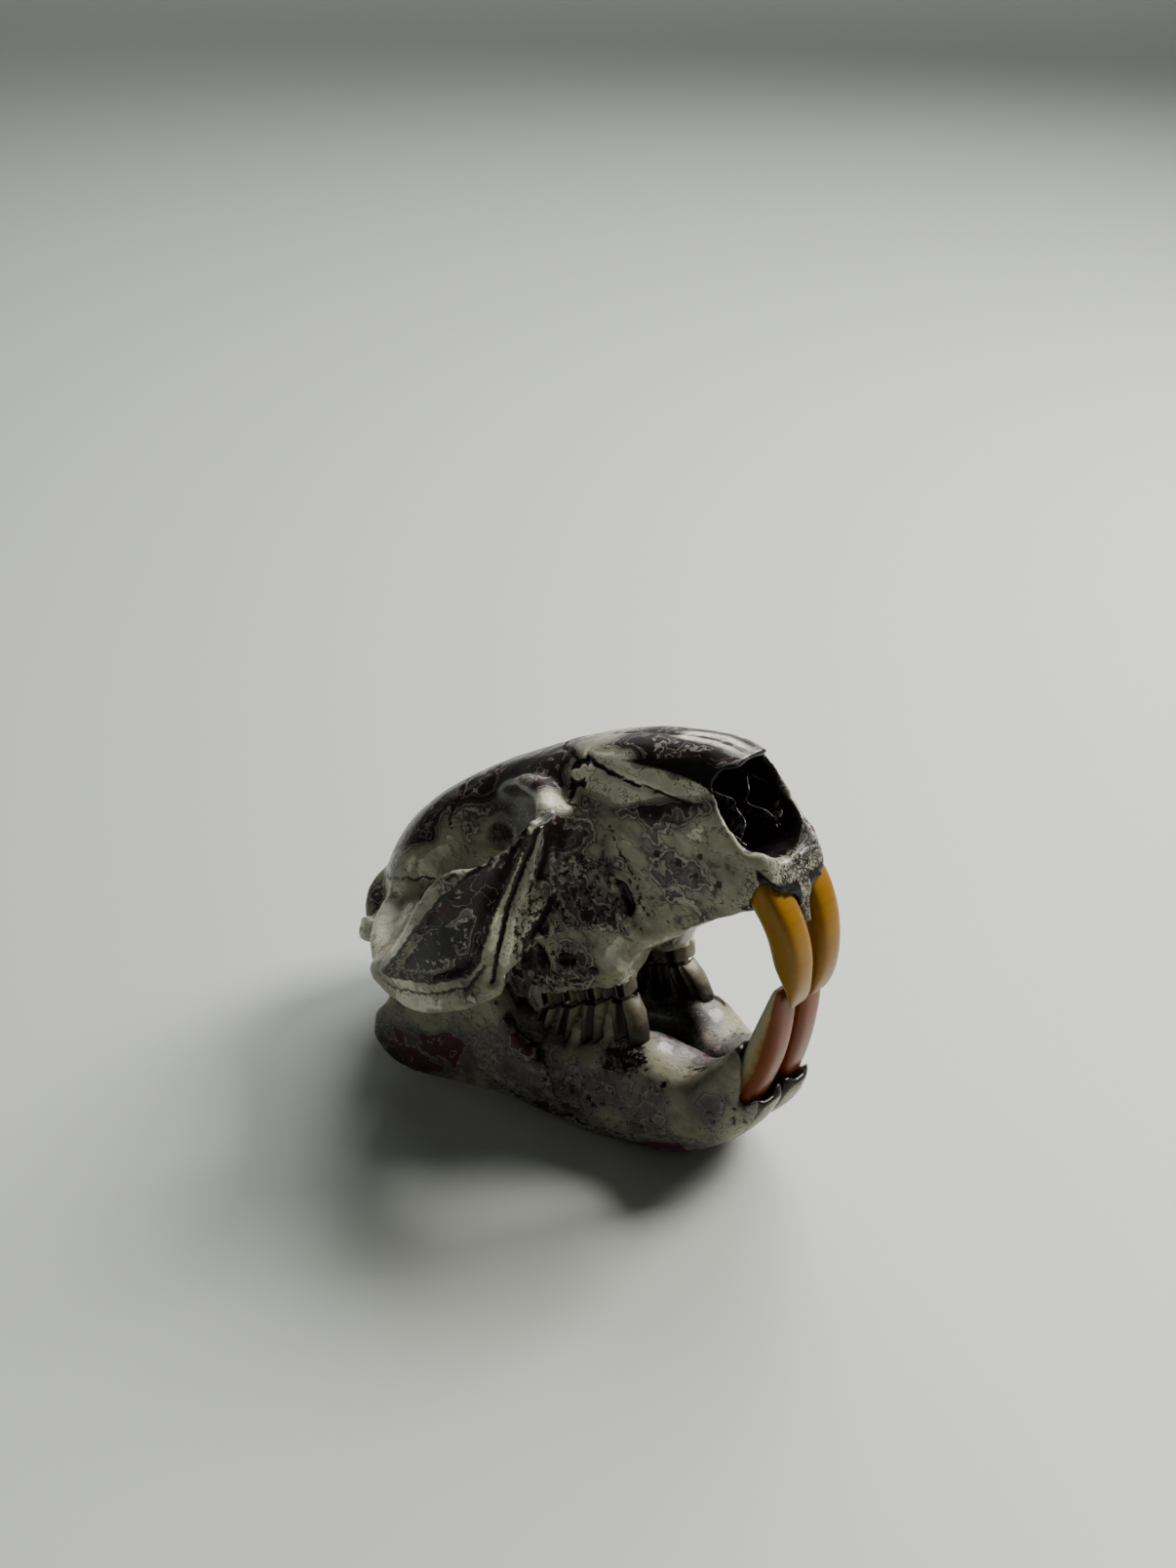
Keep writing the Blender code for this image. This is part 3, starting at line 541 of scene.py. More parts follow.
UPPER_CHEEK = ((77.2, 8.8, -9.8, 7.6), (69.0, 7.4, -11.0, 8.0), (61.8, 6.8, -12.2, 7.8), (55.2, 6.2, -13.4, 7))
LOWER_CHEEK = ((78.6, 8.8, -9.4, 7.0), (70.4, 7.4, -10.6, 7.6), (63.0, 7.0, -11.8, 7.4), (56.2, 6.4, -13, 6.6))


@dataclass(frozen=True)
class ToothRow:
    """One side's row of cheek teeth: x, length, y and width of each, from its bite to its root."""

    jaw: str
    teeth: tuple[tuple[float, float, float, float], ...]
    bite: float
    root: float
    leans: tuple[float, ...]
    splay: float
    crown: tuple[float, float]
    slot: str
    shrink: float = 0.42

    def axis(self, number: int, z: Points | float) -> tuple[Points, Points]:
        """Middle of a tooth at a height.

        Args:
            number: Which tooth, from 1 at the front.
            z: Heights in the skull's frame.

        Returns:
            Its x and its distance out from the midline.
        """
        height = abs(z - self.bite)
        tooth = self.teeth[number - 1]
        return tooth[0] + self.leans[number - 1] * height, -tooth[2] - self.splay * height

    def shrink_stubs(self, where: Points) -> Points:
        """Draw the plain stubs of the solid in, so that the folded teeth can stand over them.

        Args:
            where: Vertices in the skull's frame, y outwards on both sides.

        Returns:
            The vertices, with the stubs pulled towards each tooth's middle.
        """
        result = where.copy()
        low, high = self.crown
        inside = (where[:, 2] > low) & (where[:, 2] < high)
        for number, tooth in enumerate(self.teeth, 1):
            x, y = self.axis(number, where[:, 2])
            near = inside & (abs(where[:, 0] - x) < 0.5 * tooth[1] + 0.3) & (abs(where[:, 1] - y) < 0.5 * tooth[3] + 0.9)
            result[near, 0] = x[near] + (where[near, 0] - x[near]) * self.shrink
            result[near, 1] = y[near] + (where[near, 1] - y[near]) * self.shrink
        return result


UPPER_ROW = ToothRow("upper", UPPER_CHEEK, -2.6, 8.0, (0.25,) * 4, -0.05, (-4.0, 0.5), "bone")
LOWER_ROW = ToothRow("lower", LOWER_CHEEK, -3.1, -13.5, (-0.12, -0.42, -0.66, -0.85), -0.16, (-12.0, -2.0), "jaw_bone")


@dataclass(frozen=True)
class Patch:
    """Area, given in the skull's frame with y outwards, where the coats or the grit change."""

    centre: tuple[float, float, float]
    radii: tuple[float, float, float]
    level: float | None = None
    grain: float | None = None
    speck: float | None = None

    def share(self, where: Points) -> Points:
        """How far the patch holds at each point, from 0 to 1."""
        reach = np.linalg.norm((where - self.centre) / self.radii, axis=1)
        return smooth(1.35, 0.65, reach)


@dataclass(frozen=True)
class Seam:
    """Bone suture seen from one side: a wavering groove along a line in two coordinates."""

    axes: tuple[int, int]
    line: tuple[tuple[float, float], ...]
    bounds: tuple[tuple[float, float], tuple[float, float], tuple[float, float]]
    width: float = 0.7
    depth: float = 0.35
    waver: float = 0.7
    stain: float = 0.95

    def groove(self, where: Points) -> Points:
        """Depth share of the groove at each point, from 0 to 1."""
        flat = where[:, self.axes].copy()
        held = np.ones(len(where), bool)
        for axis, (low, high) in enumerate(self.bounds):
            held &= (where[:, axis] >= low) & (where[:, axis] <= high)
        result = np.zeros(len(where))
        if held.any():
            near = flat[held]
            shift = rough(where[held], 2.6, 7.3) * self.waver
            distance = polyline_distance(near + shift[:, None], self.line)
            result[held] = smooth(self.width, 0.15 * self.width, distance)
        return result


@dataclass(frozen=True)
class Pit:
    """Hole or dip pressed into the bone and painted dark: painted shade, the shade that falls down a hole or over a
    shaded recess.
    """

    centre: tuple[float, float, float]
    radii: tuple[float, float, float]
    depth: float = 1.0
    # How dark the pit is painted: painted shade.
    stain: float = 1.1

    def share(self, where: Points) -> Points:
        """How far the pit holds at each point, from 0 to 1."""
        return smooth(1.15, 0.55, np.linalg.norm((where - self.centre) / self.radii, axis=1))


@dataclass(frozen=True)
class Socket:
    """Room round the root of a gnawing tooth, bent along an arc in the x-z plane, painted dark as painted shade in the
    gap between tooth and bone.
    """

    centre: tuple[float, float]
    radii: tuple[float, float]
    spread: tuple[float, float]
    start: float

    def share(self, where: Points) -> Points:
        """How far each point lies in the socket, from 0 to 1."""
        radius = np.hypot(where[:, 0] - self.centre[0], where[:, 2] - self.centre[1])
        within = smooth(self.radii[0] - 0.8, self.radii[0], radius) * smooth(self.radii[1] + 0.8, self.radii[1], radius)
        near = smooth(self.spread[0] - 0.5, self.spread[0], where[:, 1])
        near *= smooth(self.spread[1] + 0.5, self.spread[1], where[:, 1])
        return within * near * smooth(self.start, self.start + 2, where[:, 0])


UPPER_SOCKET = Socket((105.9, 10.8), (16.8, 26.2), (1.8, 9.6), 116.0)
LOWER_SOCKET = Socket((66.0, 17.0), (51.6, 62.0), (0.0, 8.2), 86.0)


@dataclass
class BonePiece:
    """A bone re-skinned from its CAD node, then carved."""

    node: str
    finish: LayeredLacquer
    slot: str
    voxel: float = 0.8 * MM
    smoothing: int = 3
    patches: tuple[Patch, ...] = ()
    seams: tuple[Seam, ...] = ()
    pits: tuple[Pit, ...] = ()
    row: ToothRow = UPPER_ROW
    socket: Socket = UPPER_SOCKET
    base_level: float = 0.13
    piece: bpy.types.Object | None = field(default=None, init=False)

    def skin(self) -> None:
        """Copy the node, join its loose triangles and give it a fine even skin."""
        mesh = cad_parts[self.node].data.copy()
        self.piece = bpy.data.objects.new(self.node + "_bone", mesh)
        bpy.context.scene.collection.objects.link(self.piece)
        pick(self.piece)
        bpy.ops.object.mode_set(mode="EDIT")
        bpy.ops.mesh.select_all(action="SELECT")
        bpy.ops.mesh.remove_doubles(threshold=1e-6)
        bpy.ops.object.mode_set(mode="OBJECT")
        apply_modifier(self.piece, "REMESH", mode="VOXEL", voxel_size=self.voxel)
        apply_modifier(self.piece, "SMOOTH", factor=0.5, iterations=self.smoothing)

    def carve(self, where: Points, facing: Points) -> tuple[Points, Points]:
        """Depth of every groove and pit.

        Args:
            where: Vertices in the skull's frame, y outwards on both sides.
            facing: Their normals, in the same way.

        Returns:
            How far each vertex sinks in millimetres, and how dark it is painted: dark lacquer in
            seams, painted shade in pits and sockets.
        """
        sink = 0.10 * rough(where, 3.2) + 0.12 * rough(where, 9.0, 3.1)
        hollow = np.zeros(len(where))
        for seam in self.seams:
            groove = seam.groove(where)
            sink += seam.depth * groove
            hollow = np.maximum(hollow, seam.stain * groove)
        for pit in self.pits:
            share = pit.share(where)
            sink += pit.depth * share
            hollow = np.maximum(hollow, pit.stain * share)
        # Painted shade in the socket gap round the root of each gnawing tooth.
        return sink, np.maximum(hollow, 1.2 * self.socket.share(where))

    def coats(self, where: Points, facing: Points) -> tuple[Points, Points, Points]:
        """Lacquer depth, grit and specks at each vertex.

        Args:
            where: Vertices in the skull's frame, y outwards on both sides.
            facing: Their normals, in the same way.

        Returns:
            The level of the coats, the share of grit and how dense the specks are.
        """
        level = np.full(len(where), self.base_level)
        grain = np.zeros(len(where))
        speck = np.full(len(where), 0.18)
        for patch in self.patches:
            share = patch.share(where)
            if patch.level is not None:
                level += (patch.level - level) * share
            if patch.grain is not None:
                grain += (patch.grain - grain) * share
            if patch.speck is not None:
                speck += (patch.speck - speck) * share
        return level, grain, speck

    def build(self) -> bpy.types.Object:
        """Skin, carve and dress the bone."""
        self.skin()
        points = read_points(self.piece)
        normals = read_normals(self.piece)
        where = STANCE.to_skull(points)
        facing = STANCE.direction(normals)
        outward = np.sign(where[:, 1] + 1e-9)
        where[:, 1] *= outward
        facing[:, 1] *= outward
        sink, hollow = self.carve(where, facing)
        level, grain, speck = self.coats(where, facing)
        carved = self.row.shrink_stubs(where)
        carved[:, 1] *= outward
        write_points(self.piece, STANCE.to_floor(carved) - normals * (sink * MM)[:, None])
        write_field(self.piece, "level", level)
        write_field(self.piece, "grain", grain)
        write_field(self.piece, "speck", speck)
        write_field(self.piece, "hollow", hollow)
        finish_piece(self.piece, self.finish.make(), self.slot, self.node)
        return self.piece


CHEEK_PANEL = ((46.5, 20.2), (55, 23.6), (64, 28.6), (72, 33), (80, 37.2), (86, 40.6), (90, 43.2), (89.5, 41),
               (85.2, 34.6), (80, 27.4), (75.6, 19.6), (73, 17.4), (63.5, 17.6), (52, 19))
CHEEK_CORE = ((53, 21.5), (66, 25), (76, 30))
STRUT_GROOVES = (((91.4, 42.6), (88, 36.5), (83.4, 29), (79, 20), (76.6, 14.5)),
                 ((92.6, 41.4), (89.6, 35), (85.6, 28), (81.6, 20), (79.6, 14)))
CHEEK_LOW_LINE = ((44, 17.6), (52, 15.6), (63, 14.6), (72, 14.8), (76, 18))


@dataclass
class Cranium(BonePiece):
    """The cranium: vault, muzzle, cheek arches, ear region and palate."""

    cheek_reach: float = 26.0

    def nose_share(self, where: Points, facing: Points) -> Points:
        """How far each vertex is inside the nose opening."""
        x, y, z = where.T
        inner = smooth(9.9, 9.0, y) * smooth(26.0, 27.2, z) * smooth(49.2, 47.8, z + 0.14 * (x - 110))
        floor = smooth(129.5, 127.5, x) * smooth(8.8, 8.0, y) * smooth(28.4, 27.4, z) * smooth(0.0, 0.4, facing[:, 2])
        hidden = smooth(0.55, 0.2, facing[:, 0]) + smooth(45, 43, z)
        return smooth(92, 100, x) * np.maximum(inner * np.minimum(hidden, 1), floor * smooth(20, 21, z))

    def cheek_edge(self, where: Points) -> tuple[Points, Points]:
        """Distance inside the cheekbone's sunk panel, and whether a vertex is on the outer face."""
        flat = where[:, (0, 2)] + 0.5 * rough(where, 3.0, 4.0)[:, None]
        edge = polyline_distance(flat, CHEEK_PANEL, closed=True)
        edge[~inside_outline(flat, CHEEK_PANEL)] *= -1
        reach = self.cheek_reach + 0.5 * np.maximum(0, 88 - where[:, 0])
        return edge, smooth(-1.5, 1.5, where[:, 1] - np.minimum(reach, 39))

    def carve(self, where: Points, facing: Points) -> tuple[Points, Points]:
        """Grooves of the cranium; see the base class."""
        sink, hollow = super().carve(where, facing)
        edge, outer = self.cheek_edge(where)
        face = outer * smooth(-0.1, 0.35, facing[:, 1])
        sink += 0.65 * face * smooth(0.4, 2.4, edge)
        sink -= 0.45 * face * smooth(-1.4, -0.3, edge) * smooth(1.1, 0.2, edge)
        hollow = np.maximum(hollow, 0.8 * face * smooth(0.7, 0.25, abs(edge)))
        wavy = where[:, (0, 2)] + 0.45 * rough(where, 3.4, 6.0)[:, None]
        strut = smooth(22, 25, where[:, 1]) * smooth(47, 45, where[:, 2])
        for line in STRUT_GROOVES:
            away = polyline_distance(wavy, line)
            sink += strut * (0.9 * smooth(1.1, 0.2, away) - 0.35 * smooth(2.4, 1.5, away) * smooth(0.9, 1.5, away))
            hollow = np.maximum(hollow, 0.9 * strut * smooth(0.8, 0.3, away))
        low = face * smooth(0.75, 0.2, polyline_distance(wavy, CHEEK_LOW_LINE))
        sink += 0.4 * low
        hollow = np.maximum(hollow, 0.75 * low)
        nose = self.nose_share(where, facing)
        sink += nose * 0.35 * rough(where, 2.0, 9.0)
        # Painted shade: the inside of the nose opening is painted near black.
        hollow = np.maximum(hollow, nose * 1.2)
        return sink, hollow

    def coats(self, where: Points, facing: Points) -> tuple[Points, Points, Points]:
        """Coats of the cranium; see the base class."""
        level, grain, speck = super().coats(where, facing)
        edge, outer = self.cheek_edge(where)
        face = outer * smooth(-0.1, 0.35, facing[:, 1]) * smooth(-6, -4, edge)
        ring = np.interp(edge, (-4, -0.3, 0.2, 0.9, 1.5, 2.1), (0.10, 0.14, 0.46, 0.53, 0.48, 0.27))
        high = smooth(1.0, 1.8, edge) * smooth(27.5, 30.5, where[:, 2] + 0.5 * rough(where, 4.0, 2.0))
        ring += (0.53 - ring) * high
        level += (ring - level) * face
        core = polyline_distance(where[:, (0, 2)], CHEEK_CORE)
        dust = smooth(1.2, 2.2, edge) * np.interp(core, (0, 2.5, 6, 9), (0.67, 0.60, 0.49, 0.38)) * (1 - 0.6 * high)
        speck += (dust - speck) * face
        grain += (0 - grain) * face
        wavy = where[:, (0, 2)] + 0.5 * rough(where, 2.2, 8.0)[:, None]
        strut = smooth(26, 29, where[:, 1]) * smooth(2.4, 0.8, polyline_distance(wavy, STRUT_GROOVES[1]))
        strut *= smooth(36, 26, where[:, 2]) * smooth(78, 80, where[:, 0])
        speck += (0.50 - speck) * strut
        return level, grain, speck


CRANIUM_PATCHES = (
    Patch((88, 21, 29), (10, 14, 16), level=0.30, grain=0.2, speck=0.47),
    Patch((90, 18, 40), (6, 10, 6), level=0.50, speck=0.40),
    Patch((84, 32, 22), (6, 7, 12), level=0.30, speck=0.48),
    Patch((30, 17, 41), (19, 9, 8), level=0.61),
    Patch((46, 4, 51.5), (32, 13, 7), level=0.66),
    Patch((70, 4, 55), (15, 10, 5), level=0.66),
    Patch((56, 15, 41), (14, 6, 7), level=0.10, speck=0.2),
    Patch((40, 20, 35), (12, 6, 5), level=0.10),
    Patch((62, 12.8, 37), (5, 6, 7), level=0.25, speck=0.38),
    Patch((76, 15.5, 50), (9, 5, 4), level=0.62),
    Patch((88, 18, 46.5), (5, 5, 4.5), level=-0.1),
    Patch((80, 12, 51), (10, 6, 5), level=0.38),
    Patch((115, 4, 50), (19, 8.6, 8), level=0.72),
    Patch((119, 1.0, 49), (12, 1.7, 5), level=-0.15),
    # Partly painted light: levels below zero reach the palest coat, so the nasal bones' upper side, which the lamps
    # miss, reads as lit cream.
    Patch((96, 10.0, 48.5), (10, 5.0, 4.6), level=-0.25),
    Patch((106, 11.4, 44.5), (9, 4.2, 3.8), level=-0.25),
    Patch((116, 11.0, 41.0), (8, 3.2, 2.8), level=-0.2),
    Patch((110, 12.6, 37.4), (18, 4.5, 3.8), level=0.56, speck=0.36),
    Patch((100, 14, 30), (10, 5, 9), level=0.27, speck=0.34),
    Patch((129, 4, 14), (10, 12, 13), level=0.34, grain=0.9, speck=0.42),
    Patch((112, 12, 15), (13, 6, 5), level=0.28, speck=0.42),
    Patch((114, 13.5, 25), (14, 5, 10), level=0.23, speck=0.30),
    Patch((96, 16, 20), (7, 6, 9), level=0.35, speck=0.42),
    Patch((66, 17, 8), (15, 5, 8), level=0.33, speck=0.46),
    Patch((10, 12, 24), (9, 14, 12), level=0.28, speck=0.36),
    Patch((30, 30, 27), (8, 8, 5), level=0.12),
)

CRANIUM_SEAMS = (
    Seam((0, 2), ((90.6, 51.8), (98, 48.7), (106.8, 44.4), (114.7, 40.7), (121.5, 38)),
         ((88, 124), (5, 17), (35, 54)), width=0.75, depth=0.5, waver=0.5),
    Seam((0, 1), ((74, 0.2), (129, 0.2)), ((90, 130), (0, 3), (42, 60)), width=0.5, waver=0.25),
    Seam((1, 2), ((16.9, 43.1), (12.7, 46.4), (10.4, 50.1), (9.0, 51.4)), ((87, 92), (7, 18), (41, 53)), width=0.6,
         depth=0.5),
    Seam((0, 1), ((76, 0), (79, 4), (84, 7), (89, 9.5)), ((72, 92), (0, 10.5), (49, 60)), width=0.6),
    Seam((0, 1), ((46, 0), (44, 5), (47, 10), (45, 15), (48, 19)), ((40, 54), (0, 20), (42, 60))),
    Seam((0, 1), ((14, 0.2), (46, 0.2)), ((14, 46), (0, 3), (40, 60)), waver=0.5),
    Seam((0, 2), ((16, 33), (26, 34), (36, 33), (44, 31)), ((14, 46), (12, 26), (28, 38)), width=0.5),
    Seam((0, 2), ((96.5, 37), (98, 30), (99, 24), (98, 16)), ((94, 103), (11, 18), (12, 40)), width=0.5),
    Seam((1, 2), ((0, 2), (0, 26)), ((121, 141), (0, 3), (2, 26)), width=0.7, depth=0.8, waver=0.3),
    *(Seam((1, 2), ((21.5 + 0.5 * k, 41), (16 + 1.9 * k, 29), (15.5 + 3.0 * k, 15)), ((72, 97), (14, 40), (11, 42)),
           width=0.5, depth=0.12, waver=1.6, stain=0.62) for k in range(8)),
)

# Each pit's darkening is painted shade: black down the holes, where shade falls inside them.
CRANIUM_PITS = (
    Pit((94.6, 14.8, 21.5), (1.7, 3.4, 4.6), depth=1.6, stain=1.3),
    Pit((63.0, 17.6, 9.4), (1.7, 3.4, 4.2), depth=2.8, stain=1.5),
    Pit((70.2, 16.8, 8.6), (3.0, 3.2, 2.0), depth=2.4, stain=1.5),
    # Painted shade over the maxilla's side under the cheek, which lies in shadow.
    Pit((60.0, 17.4, 10.0), (6.5, 3.5, 4.6), depth=1.0, stain=0.62),
    # Bone pushed out to close the gap behind the tooth row, painted dark as the shade there.
    Pit((41.5, 7.5, 2.2), (7, 5, 5), depth=-2.0, stain=0.5),
    Pit((49.5, 12.0, 1.2), (9.5, 7, 7), depth=-4.8, stain=0.85),
    Pit((76.5, 16, 5.0), (1.8, 3.0, 1.6), depth=1.0),
    # Painted shade in the orbit and over the temporal wall behind it.
    Pit((66.5, 12.0, 43.5), (14, 6.5, 8), depth=1.0, stain=0.62),
    Pit((58.0, 13, 38), (5.0, 4.0, 5.0), depth=0.8, stain=0.62),
    Pit((55, 13, 31), (1.3, 2.4, 1.3), depth=0.6),
    Pit((107, 13.6, 30), (1.0, 2.0, 1.0), depth=0.4),
    Pit((112, 13.4, 27.5), (0.9, 2.0, 0.9), depth=0.4),
    Pit((115, 13, 24), (0.9, 2.0, 0.9), depth=0.4),
    Pit((118, 12.4, 28), (1.0, 2.0, 0.8), depth=0.4),
    Pit((120, 12, 21.5), (1.1, 2.0, 0.9), depth=0.4),
    Pit((62, 13.4, 46), (0.9, 2.0, 0.8), depth=0.3),
)

JAW_PATCHES = (
    Patch((48, 27, -12), (14, 9, 12), level=0.36, speck=0.38),
    Patch((62, 20, -24), (12, 8, 10), level=0.34, speck=0.42),
    Patch((24, 32, -6), (19, 9, 8), level=0.60, speck=0.34),
    Patch((33, 31, 1.5), (6, 6, 3.8), level=0.08),
    Patch((56, 21.5, -27), (10, 6, 4.5), level=0.54, speck=0.36),
    Patch((68, 16, -31), (20, 9, 5.5), level=0.05, speck=0.40),
    Patch((76, 14, -39), (26, 10, 4.0), level=0.48, speck=0.44),
    Patch((77.5, 15.5, -15.5), (7, 5, 4), level=0.28, speck=0.56),
    Patch((80, 17, -26), (9, 5, 7), level=0.36, speck=0.40),
    Patch((98, 11, -31), (9, 7, 6), level=0.28, speck=0.42),
    Patch((92, 4, -20), (8, 7, 4), level=0.28, speck=0.54),
    # Inner face of each jaw half: darker coats, partly its own dark lacquer and partly painted shade.
    Patch((76, 4, -22), (20, 5, 16), level=0.42, speck=0.36),
    Patch((57, 12, -14), (6, 8, 6), level=0.40, speck=0.48),
)

JAW_SEAMS = (
    Seam((0, 2), ((52.6, 4), (53.6, -2.5), (55.9, -9.3), (59.2, -18), (62.1, -30.5)), ((44, 76), (14, 34), (-33, 6)),
         width=0.55, depth=0.35, waver=0.8, stain=0.7),
    Seam((0, 2), ((44, -16), (52, -23.5), (60, -30), (70, -34)), ((40, 76), (12, 34), (-38, -12)), width=0.5),
)

# Each pit's darkening is painted shade, black down the small holes.
JAW_PITS = (
    Pit((74, 17.6, -15.6), (1.4, 2.4, 1.2), depth=0.7),
    Pit((79.4, 15.6, -16.4), (1.6, 2.4, 1.0), depth=0.7),
    Pit((82.6, 13.6, -18.4), (1.0, 2.4, 0.9), depth=0.5),
    Pit((86, 14, -22), (0.9, 2.4, 0.8), depth=0.4),
    Pit((58, 13, -11), (2.0, 3.0, 1.6), depth=0.8),
    # Painted shade over the inner faces of both jaw halves; nothing is pressed in here.
    Pit((70, 3.5, -16), (18, 6.5, 11), depth=0.0, stain=0.66),
)


@dataclass
class GnawingTooth:
    """A curved chisel tooth, its CAD shape refined and its enamel laid out."""

    jaw: str
    side: Side
    finish: ToothEnamel
    slot: str
    arc_centre: tuple[float, float]
    wrap: tuple[float, float]

    def build(self) -> bpy.types.Object:
        """Refine, measure and dress the tooth."""
        node = f"{self.jaw}_incisor_{self.side.word}"
        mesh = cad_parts[node].data.copy()
        piece = bpy.data.objects.new(node + "_tooth", mesh)
        bpy.context.scene.collection.objects.link(piece)
        pick(piece)
        bpy.ops.object.mode_set(mode="EDIT")
        bpy.ops.mesh.select_all(action="SELECT")
        bpy.ops.mesh.remove_doubles(threshold=1e-6)
        bpy.ops.mesh.tris_convert_to_quads()
        bpy.ops.object.mode_set(mode="OBJECT")
        apply_modifier(piece, "SUBSURF", levels=2, render_levels=2)
        where = STANCE.to_skull(read_points(piece))
        facing = STANCE.direction(read_normals(piece))
        arm = where[:, (0, 2)] - self.arc_centre
        radius = np.linalg.norm(arm, axis=1)
        outward = (facing[:, 0] * arm[:, 0] + facing[:, 2] * arm[:, 1]) / radius
        front = smooth(*self.wrap, outward)
        write_field(piece, "front", front)
        write_field(piece, "along", np.arctan2(arm[:, 1], arm[:, 0]))
        finish_piece(piece, self.finish.make(), self.slot, node)
        return piece


@dataclass
class CheekTooth:
    """One folded cheek tooth, a column with re-entrant folds down its sides."""

    row: ToothRow
    number: int
    side: Side
    corners: int = 96
    swell: float = 0.93
    fold_depth: float = 0.40

    def fold(self, angles: Points) -> Points:
        """Depth share of the folds round the column, 0 on the ribs and 1 in a fold."""
        folds = ((0.95, 1.0), (1.57, 1.0), (2.2, 1.0), (-1.55, 0.4))
        if self.row.jaw == "lower":
            folds = ((1.6, 1.0), (-1.0, 0.3), (-1.6, 0.4), (-2.2, 0.3))
        result = np.zeros(len(angles))
        for middle, share in folds:
            away = np.abs((angles - middle + math.pi) % (2 * math.pi) - math.pi)
            result = np.maximum(result, share * smooth(0.34, 0.05, away))
        return result

    def build(self, material: bpy.types.Material) -> bpy.types.Object:
        """Raise the column from a circle and press its folds in."""
        row = self.row
        tooth = row.teeth[self.number - 1]
        sign = math.copysign(1, row.root - row.bite)
        bpy.ops.object.select_all(action="DESELECT")
        bpy.ops.mesh.primitive_circle_add(vertices=self.corners, radius=1.0, fill_type="NGON")
        piece = bpy.context.object
        piece.name = f"{row.jaw}_cheek_tooth_{self.number}_{self.side.word}"
        bpy.ops.object.mode_set(mode="EDIT")
        bpy.ops.mesh.select_all(action="SELECT")
        done = 0.0
        for height in (0.3, 0.8, 2.0, 4.0, 7.0, abs(row.root - row.bite)):
            bpy.ops.mesh.extrude_region_move(TRANSFORM_OT_translate={"value": (0, 0, height - done)})
            done = height
        bpy.ops.object.mode_set(mode="OBJECT")
        rows = read_points(piece)
        angle = np.arctan2(rows[:, 1], rows[:, 0])
        height = rows[:, 2]
        fold = self.fold(angle)
        grow = self.swell * np.interp(height, (0, 0.3, 0.8, 3, 30), (0.84, 0.93, 0.97, 1.0, 1.0))
        press = 1 - self.fold_depth * fold
        along = np.sign(np.cos(angle)) * np.abs(np.cos(angle)) ** 0.7
        across = np.sign(np.sin(angle)) * np.abs(np.sin(angle)) ** 0.7 * (1 - 0.16 * along)
        if row.jaw == "lower" and self.number == 1:
            along = np.where(along > 0, along * np.interp(height, (0, 4.5), (0.42, 1.0)), along)
        middle_x, middle_y = row.axis(self.number, row.bite + sign * height)
        middle_x = middle_x + 0.25 * math.sin(5.1 * self.number)
        x = middle_x + 0.5 * tooth[1] * grow * press * along
        y = middle_y + 0.5 * tooth[3] * grow * press * across
        jag = 0.3 * np.cos(3 * angle + self.number) * (height < 0.5)
        z = row.bite + sign * (height + (height < 0.1) * 0.6 * fold + np.maximum(jag, 0))
        write_points(piece, STANCE.to_floor(np.stack([x, self.side.value * y, z], axis=1)))
        # Painted shade: the lower teeth darken away from the bite, into the shade under the cheek arch; the upper teeth
        # get a small even darkening.
        low = np.interp(height, (0.5, 4, 9), (0, 0.16, 0.42)) if row.jaw == "lower" else 0.1
        write_field(piece, "fold", np.maximum(fold, 0.6 * (height < 0.1)) + low)
        pick(piece)
        bpy.ops.object.mode_set(mode="EDIT")
        bpy.ops.mesh.select_all(action="SELECT")
        bpy.ops.mesh.quads_convert_to_tris()
        bpy.ops.mesh.normals_make_consistent(inside=False)
        bpy.ops.object.mode_set(mode="OBJECT")
        finish_piece(piece, material, row.slot)
        return piece


@dataclass
class NoseLeaf:
    """Ragged bony leaf inside the nose opening."""

    name: str
    side: Side
    out: float
    back: float = 96.0
    front: float = 123.0
    low: float = 27.0
    high: float = 45.0
    curl: float = 2.4
    seed: float = 0.0

    def build(self, material: bpy.types.Material) -> bpy.types.Object:
        """Shape a grid into a curled leaf with a torn front edge."""
        bpy.ops.object.select_all(action="DESELECT")
        bpy.ops.mesh.primitive_grid_add(x_subdivisions=44, y_subdivisions=32, size=1.0)
        piece = bpy.context.object
        piece.name = self.name
        rows = read_points(piece)
        u, v = rows[:, 0] + 0.5, rows[:, 1] + 0.5
        z = self.low + (self.high - self.low) * v
        torn = 2.6 * rough(np.stack([v * 18, np.full(len(v), self.seed), v * 0], axis=1), 2.2, self.seed)
        x = self.back + (self.front + torn - 0.35 * (z - 34) - self.back) * u
        y = self.out + self.curl * np.sin(v * 7.5 + self.seed) * (0.4 + 0.6 * u)
        y = y + 0.35 * rough(np.stack([x, y, z], axis=1), 2.4, self.seed)
        write_points(piece, STANCE.to_floor(np.stack([x, self.side.value * y, z], axis=1)))
        apply_modifier(piece, "SOLIDIFY", thickness=0.55 * MM, offset=0.0)
        apply_modifier(piece, "SUBSURF", levels=1, render_levels=1)
        where = STANCE.to_skull(read_points(piece))
        write_field(piece, "level", 0.78 + 0.2 * rough(where, 5.0, self.seed))
        write_field(piece, "grain", np.full(len(where), 0.35))
        write_field(piece, "speck", np.full(len(where), 0.3))
        # Painted shade: the leaves darken towards the back, deeper inside the nose opening.
        write_field(piece, "hollow", np.interp(where[:, 0], (110, 121), (1.1, 0.45)))
        finish_piece(piece, material, "bone")
        return piece


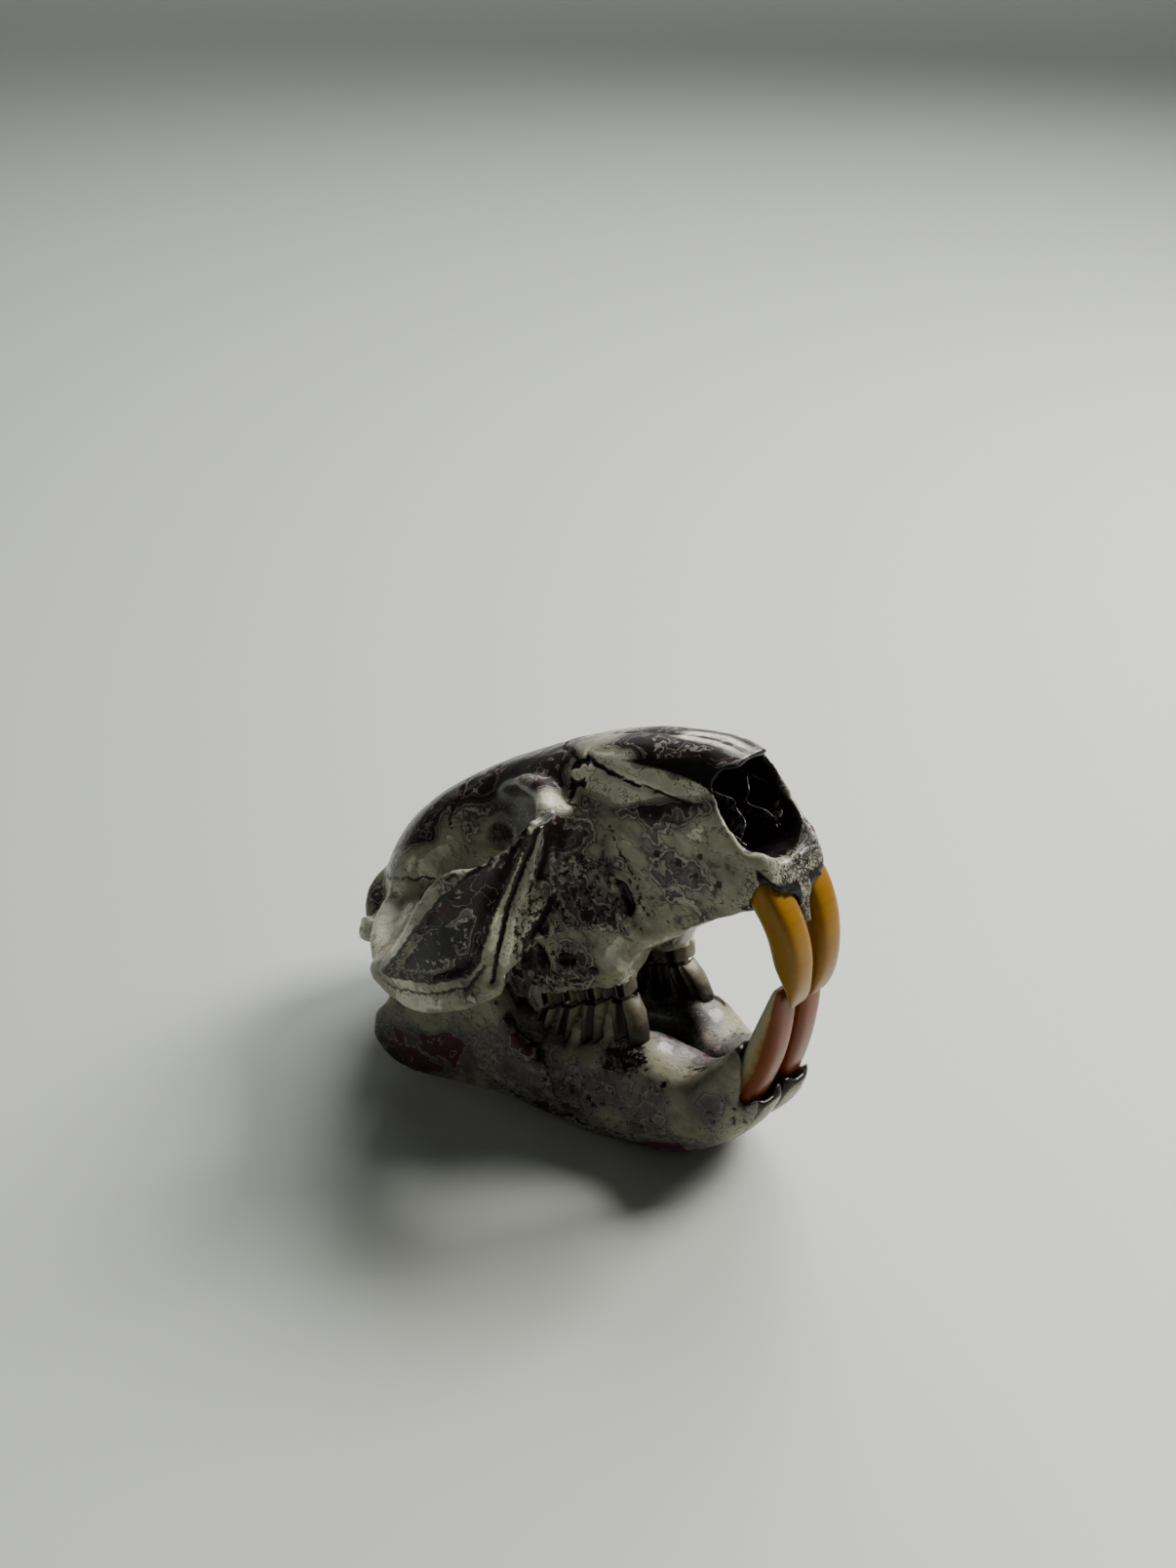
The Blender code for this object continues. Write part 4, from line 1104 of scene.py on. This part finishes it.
@dataclass
class Studio:
    """Pale board, soft lights and the camera of the photograph."""

    camera_place: tuple[float, float, float] = (0.23512, -0.24781, 0.25887)
    azimuth: float = 43.6
    elevation: float = 28.0
    lens: float = 40.3

    def board(self) -> None:
        """Lay the floor."""
        bpy.ops.object.select_all(action="DESELECT")
        bpy.ops.mesh.primitive_plane_add(size=16.0)
        floor = bpy.context.object
        floor.name = "studio_board"
        floor.data.materials.append(StudioPaper().make())

    def lamp(self, name: str, place: tuple[float, float, float], size: float, power: float, tint: str) -> None:
        """Hang one square soft light aimed at the skull."""
        bpy.ops.object.light_add(type="AREA", location=place)
        lamp = bpy.context.object
        lamp.name = name
        lamp.data.size = size
        lamp.data.energy = power
        lamp.data.color = linear(tint)[:3]
        aim = Vector((0.0, 0.0, 0.05)) - Vector(place)
        lamp.rotation_euler = aim.to_track_quat("-Z", "Y").to_euler()

    def build(self) -> None:
        """Set the whole studio."""
        self.board()
        self.lamp("window_light", (0.30, 0.70, 0.74), 0.42, 18.0, "#fffdf6")
        self.lamp("sky_panel", (-0.46, 1.05, 1.25), 0.95, 20.0, "#fbfdfa")
        self.lamp("room_fill", (0.95, -0.45, 0.60), 0.9, 0.3, "#fbfdff")
        self.lamp("far_panel", (-3.3, 3.45, 1.8), 4.0, 22.0, "#fbfdfa")
        world = bpy.data.worlds.new("studio_air")
        world.use_nodes = True
        world.node_tree.nodes["Background"].inputs["Color"].default_value = linear("#e9eeec")
        world.node_tree.nodes["Background"].inputs["Strength"].default_value = 0.06
        bpy.context.scene.world = world
        bpy.ops.object.camera_add(location=self.camera_place)
        camera = bpy.context.object
        camera.name = "photo_camera"
        camera.rotation_euler = (math.radians(90 - self.elevation), 0, math.radians(self.azimuth))
        camera.data.lens = self.lens
        camera.data.sensor_width = 36.0
        camera.data.clip_start = 0.01
        bpy.context.scene.camera = camera


def cheek_rows(material: bpy.types.Material) -> Iterable[bpy.types.Object]:
    """Build all sixteen cheek teeth."""
    for side in Side:
        for row in (UPPER_ROW, LOWER_ROW):
            for number in range(1, len(row.teeth) + 1):
                yield CheekTooth(row, number, side).build(material)


def main() -> None:
    """Build every piece in order."""
    logging.basicConfig(level=logging.INFO, format="%(name)s: %(message)s")
    Studio().build()
    pale = LayeredLacquer("sanded_lacquer_pale", PALE_TO_DARK)
    jaw = LayeredLacquer("sanded_lacquer_jaw", JAW_COATS, swell_mm=13.0, ripple_mm=3.8, swell_share=0.18)
    Cranium("cranium", pale, "bone", patches=CRANIUM_PATCHES, seams=CRANIUM_SEAMS,
            pits=CRANIUM_PITS, row=UPPER_ROW).build()
    for side in Side:
        BonePiece(f"mandible_{side.word}", jaw, "jaw_bone", patches=JAW_PATCHES, seams=JAW_SEAMS,
                  pits=JAW_PITS, row=LOWER_ROW, socket=LOWER_SOCKET, base_level=0.16).build()
        GnawingTooth("upper", side, ToothEnamel("amber_enamel", "#9c7018", "#8c620f", "#b3af9b"), "upper_enamel",
                     (105.9, 10.8), (-0.85, 0.45)).build()
        GnawingTooth("lower", side, ToothEnamel("russet_enamel", "#80400e", "#74350c", "#b0ab97"), "lower_enamel",
                     (66.0, 17.0), (-0.66, 0.62)).build()
    for tooth in cheek_rows(CheekToothIvory().make()):
        LOG.info("%s done", tooth.name)
    leaf = LayeredLacquer("nose_leaf_lacquer", PALE_TO_DARK, roughness=0.3).make()
    for side in Side:
        for number, (out, seed) in enumerate(((4.2, 1.7), (7.4, 5.1)), 1):
            NoseLeaf(f"nose_leaf_{number}_{side.word}", side, out, seed=seed).build(leaf)


if __name__ == "__main__":
    main()
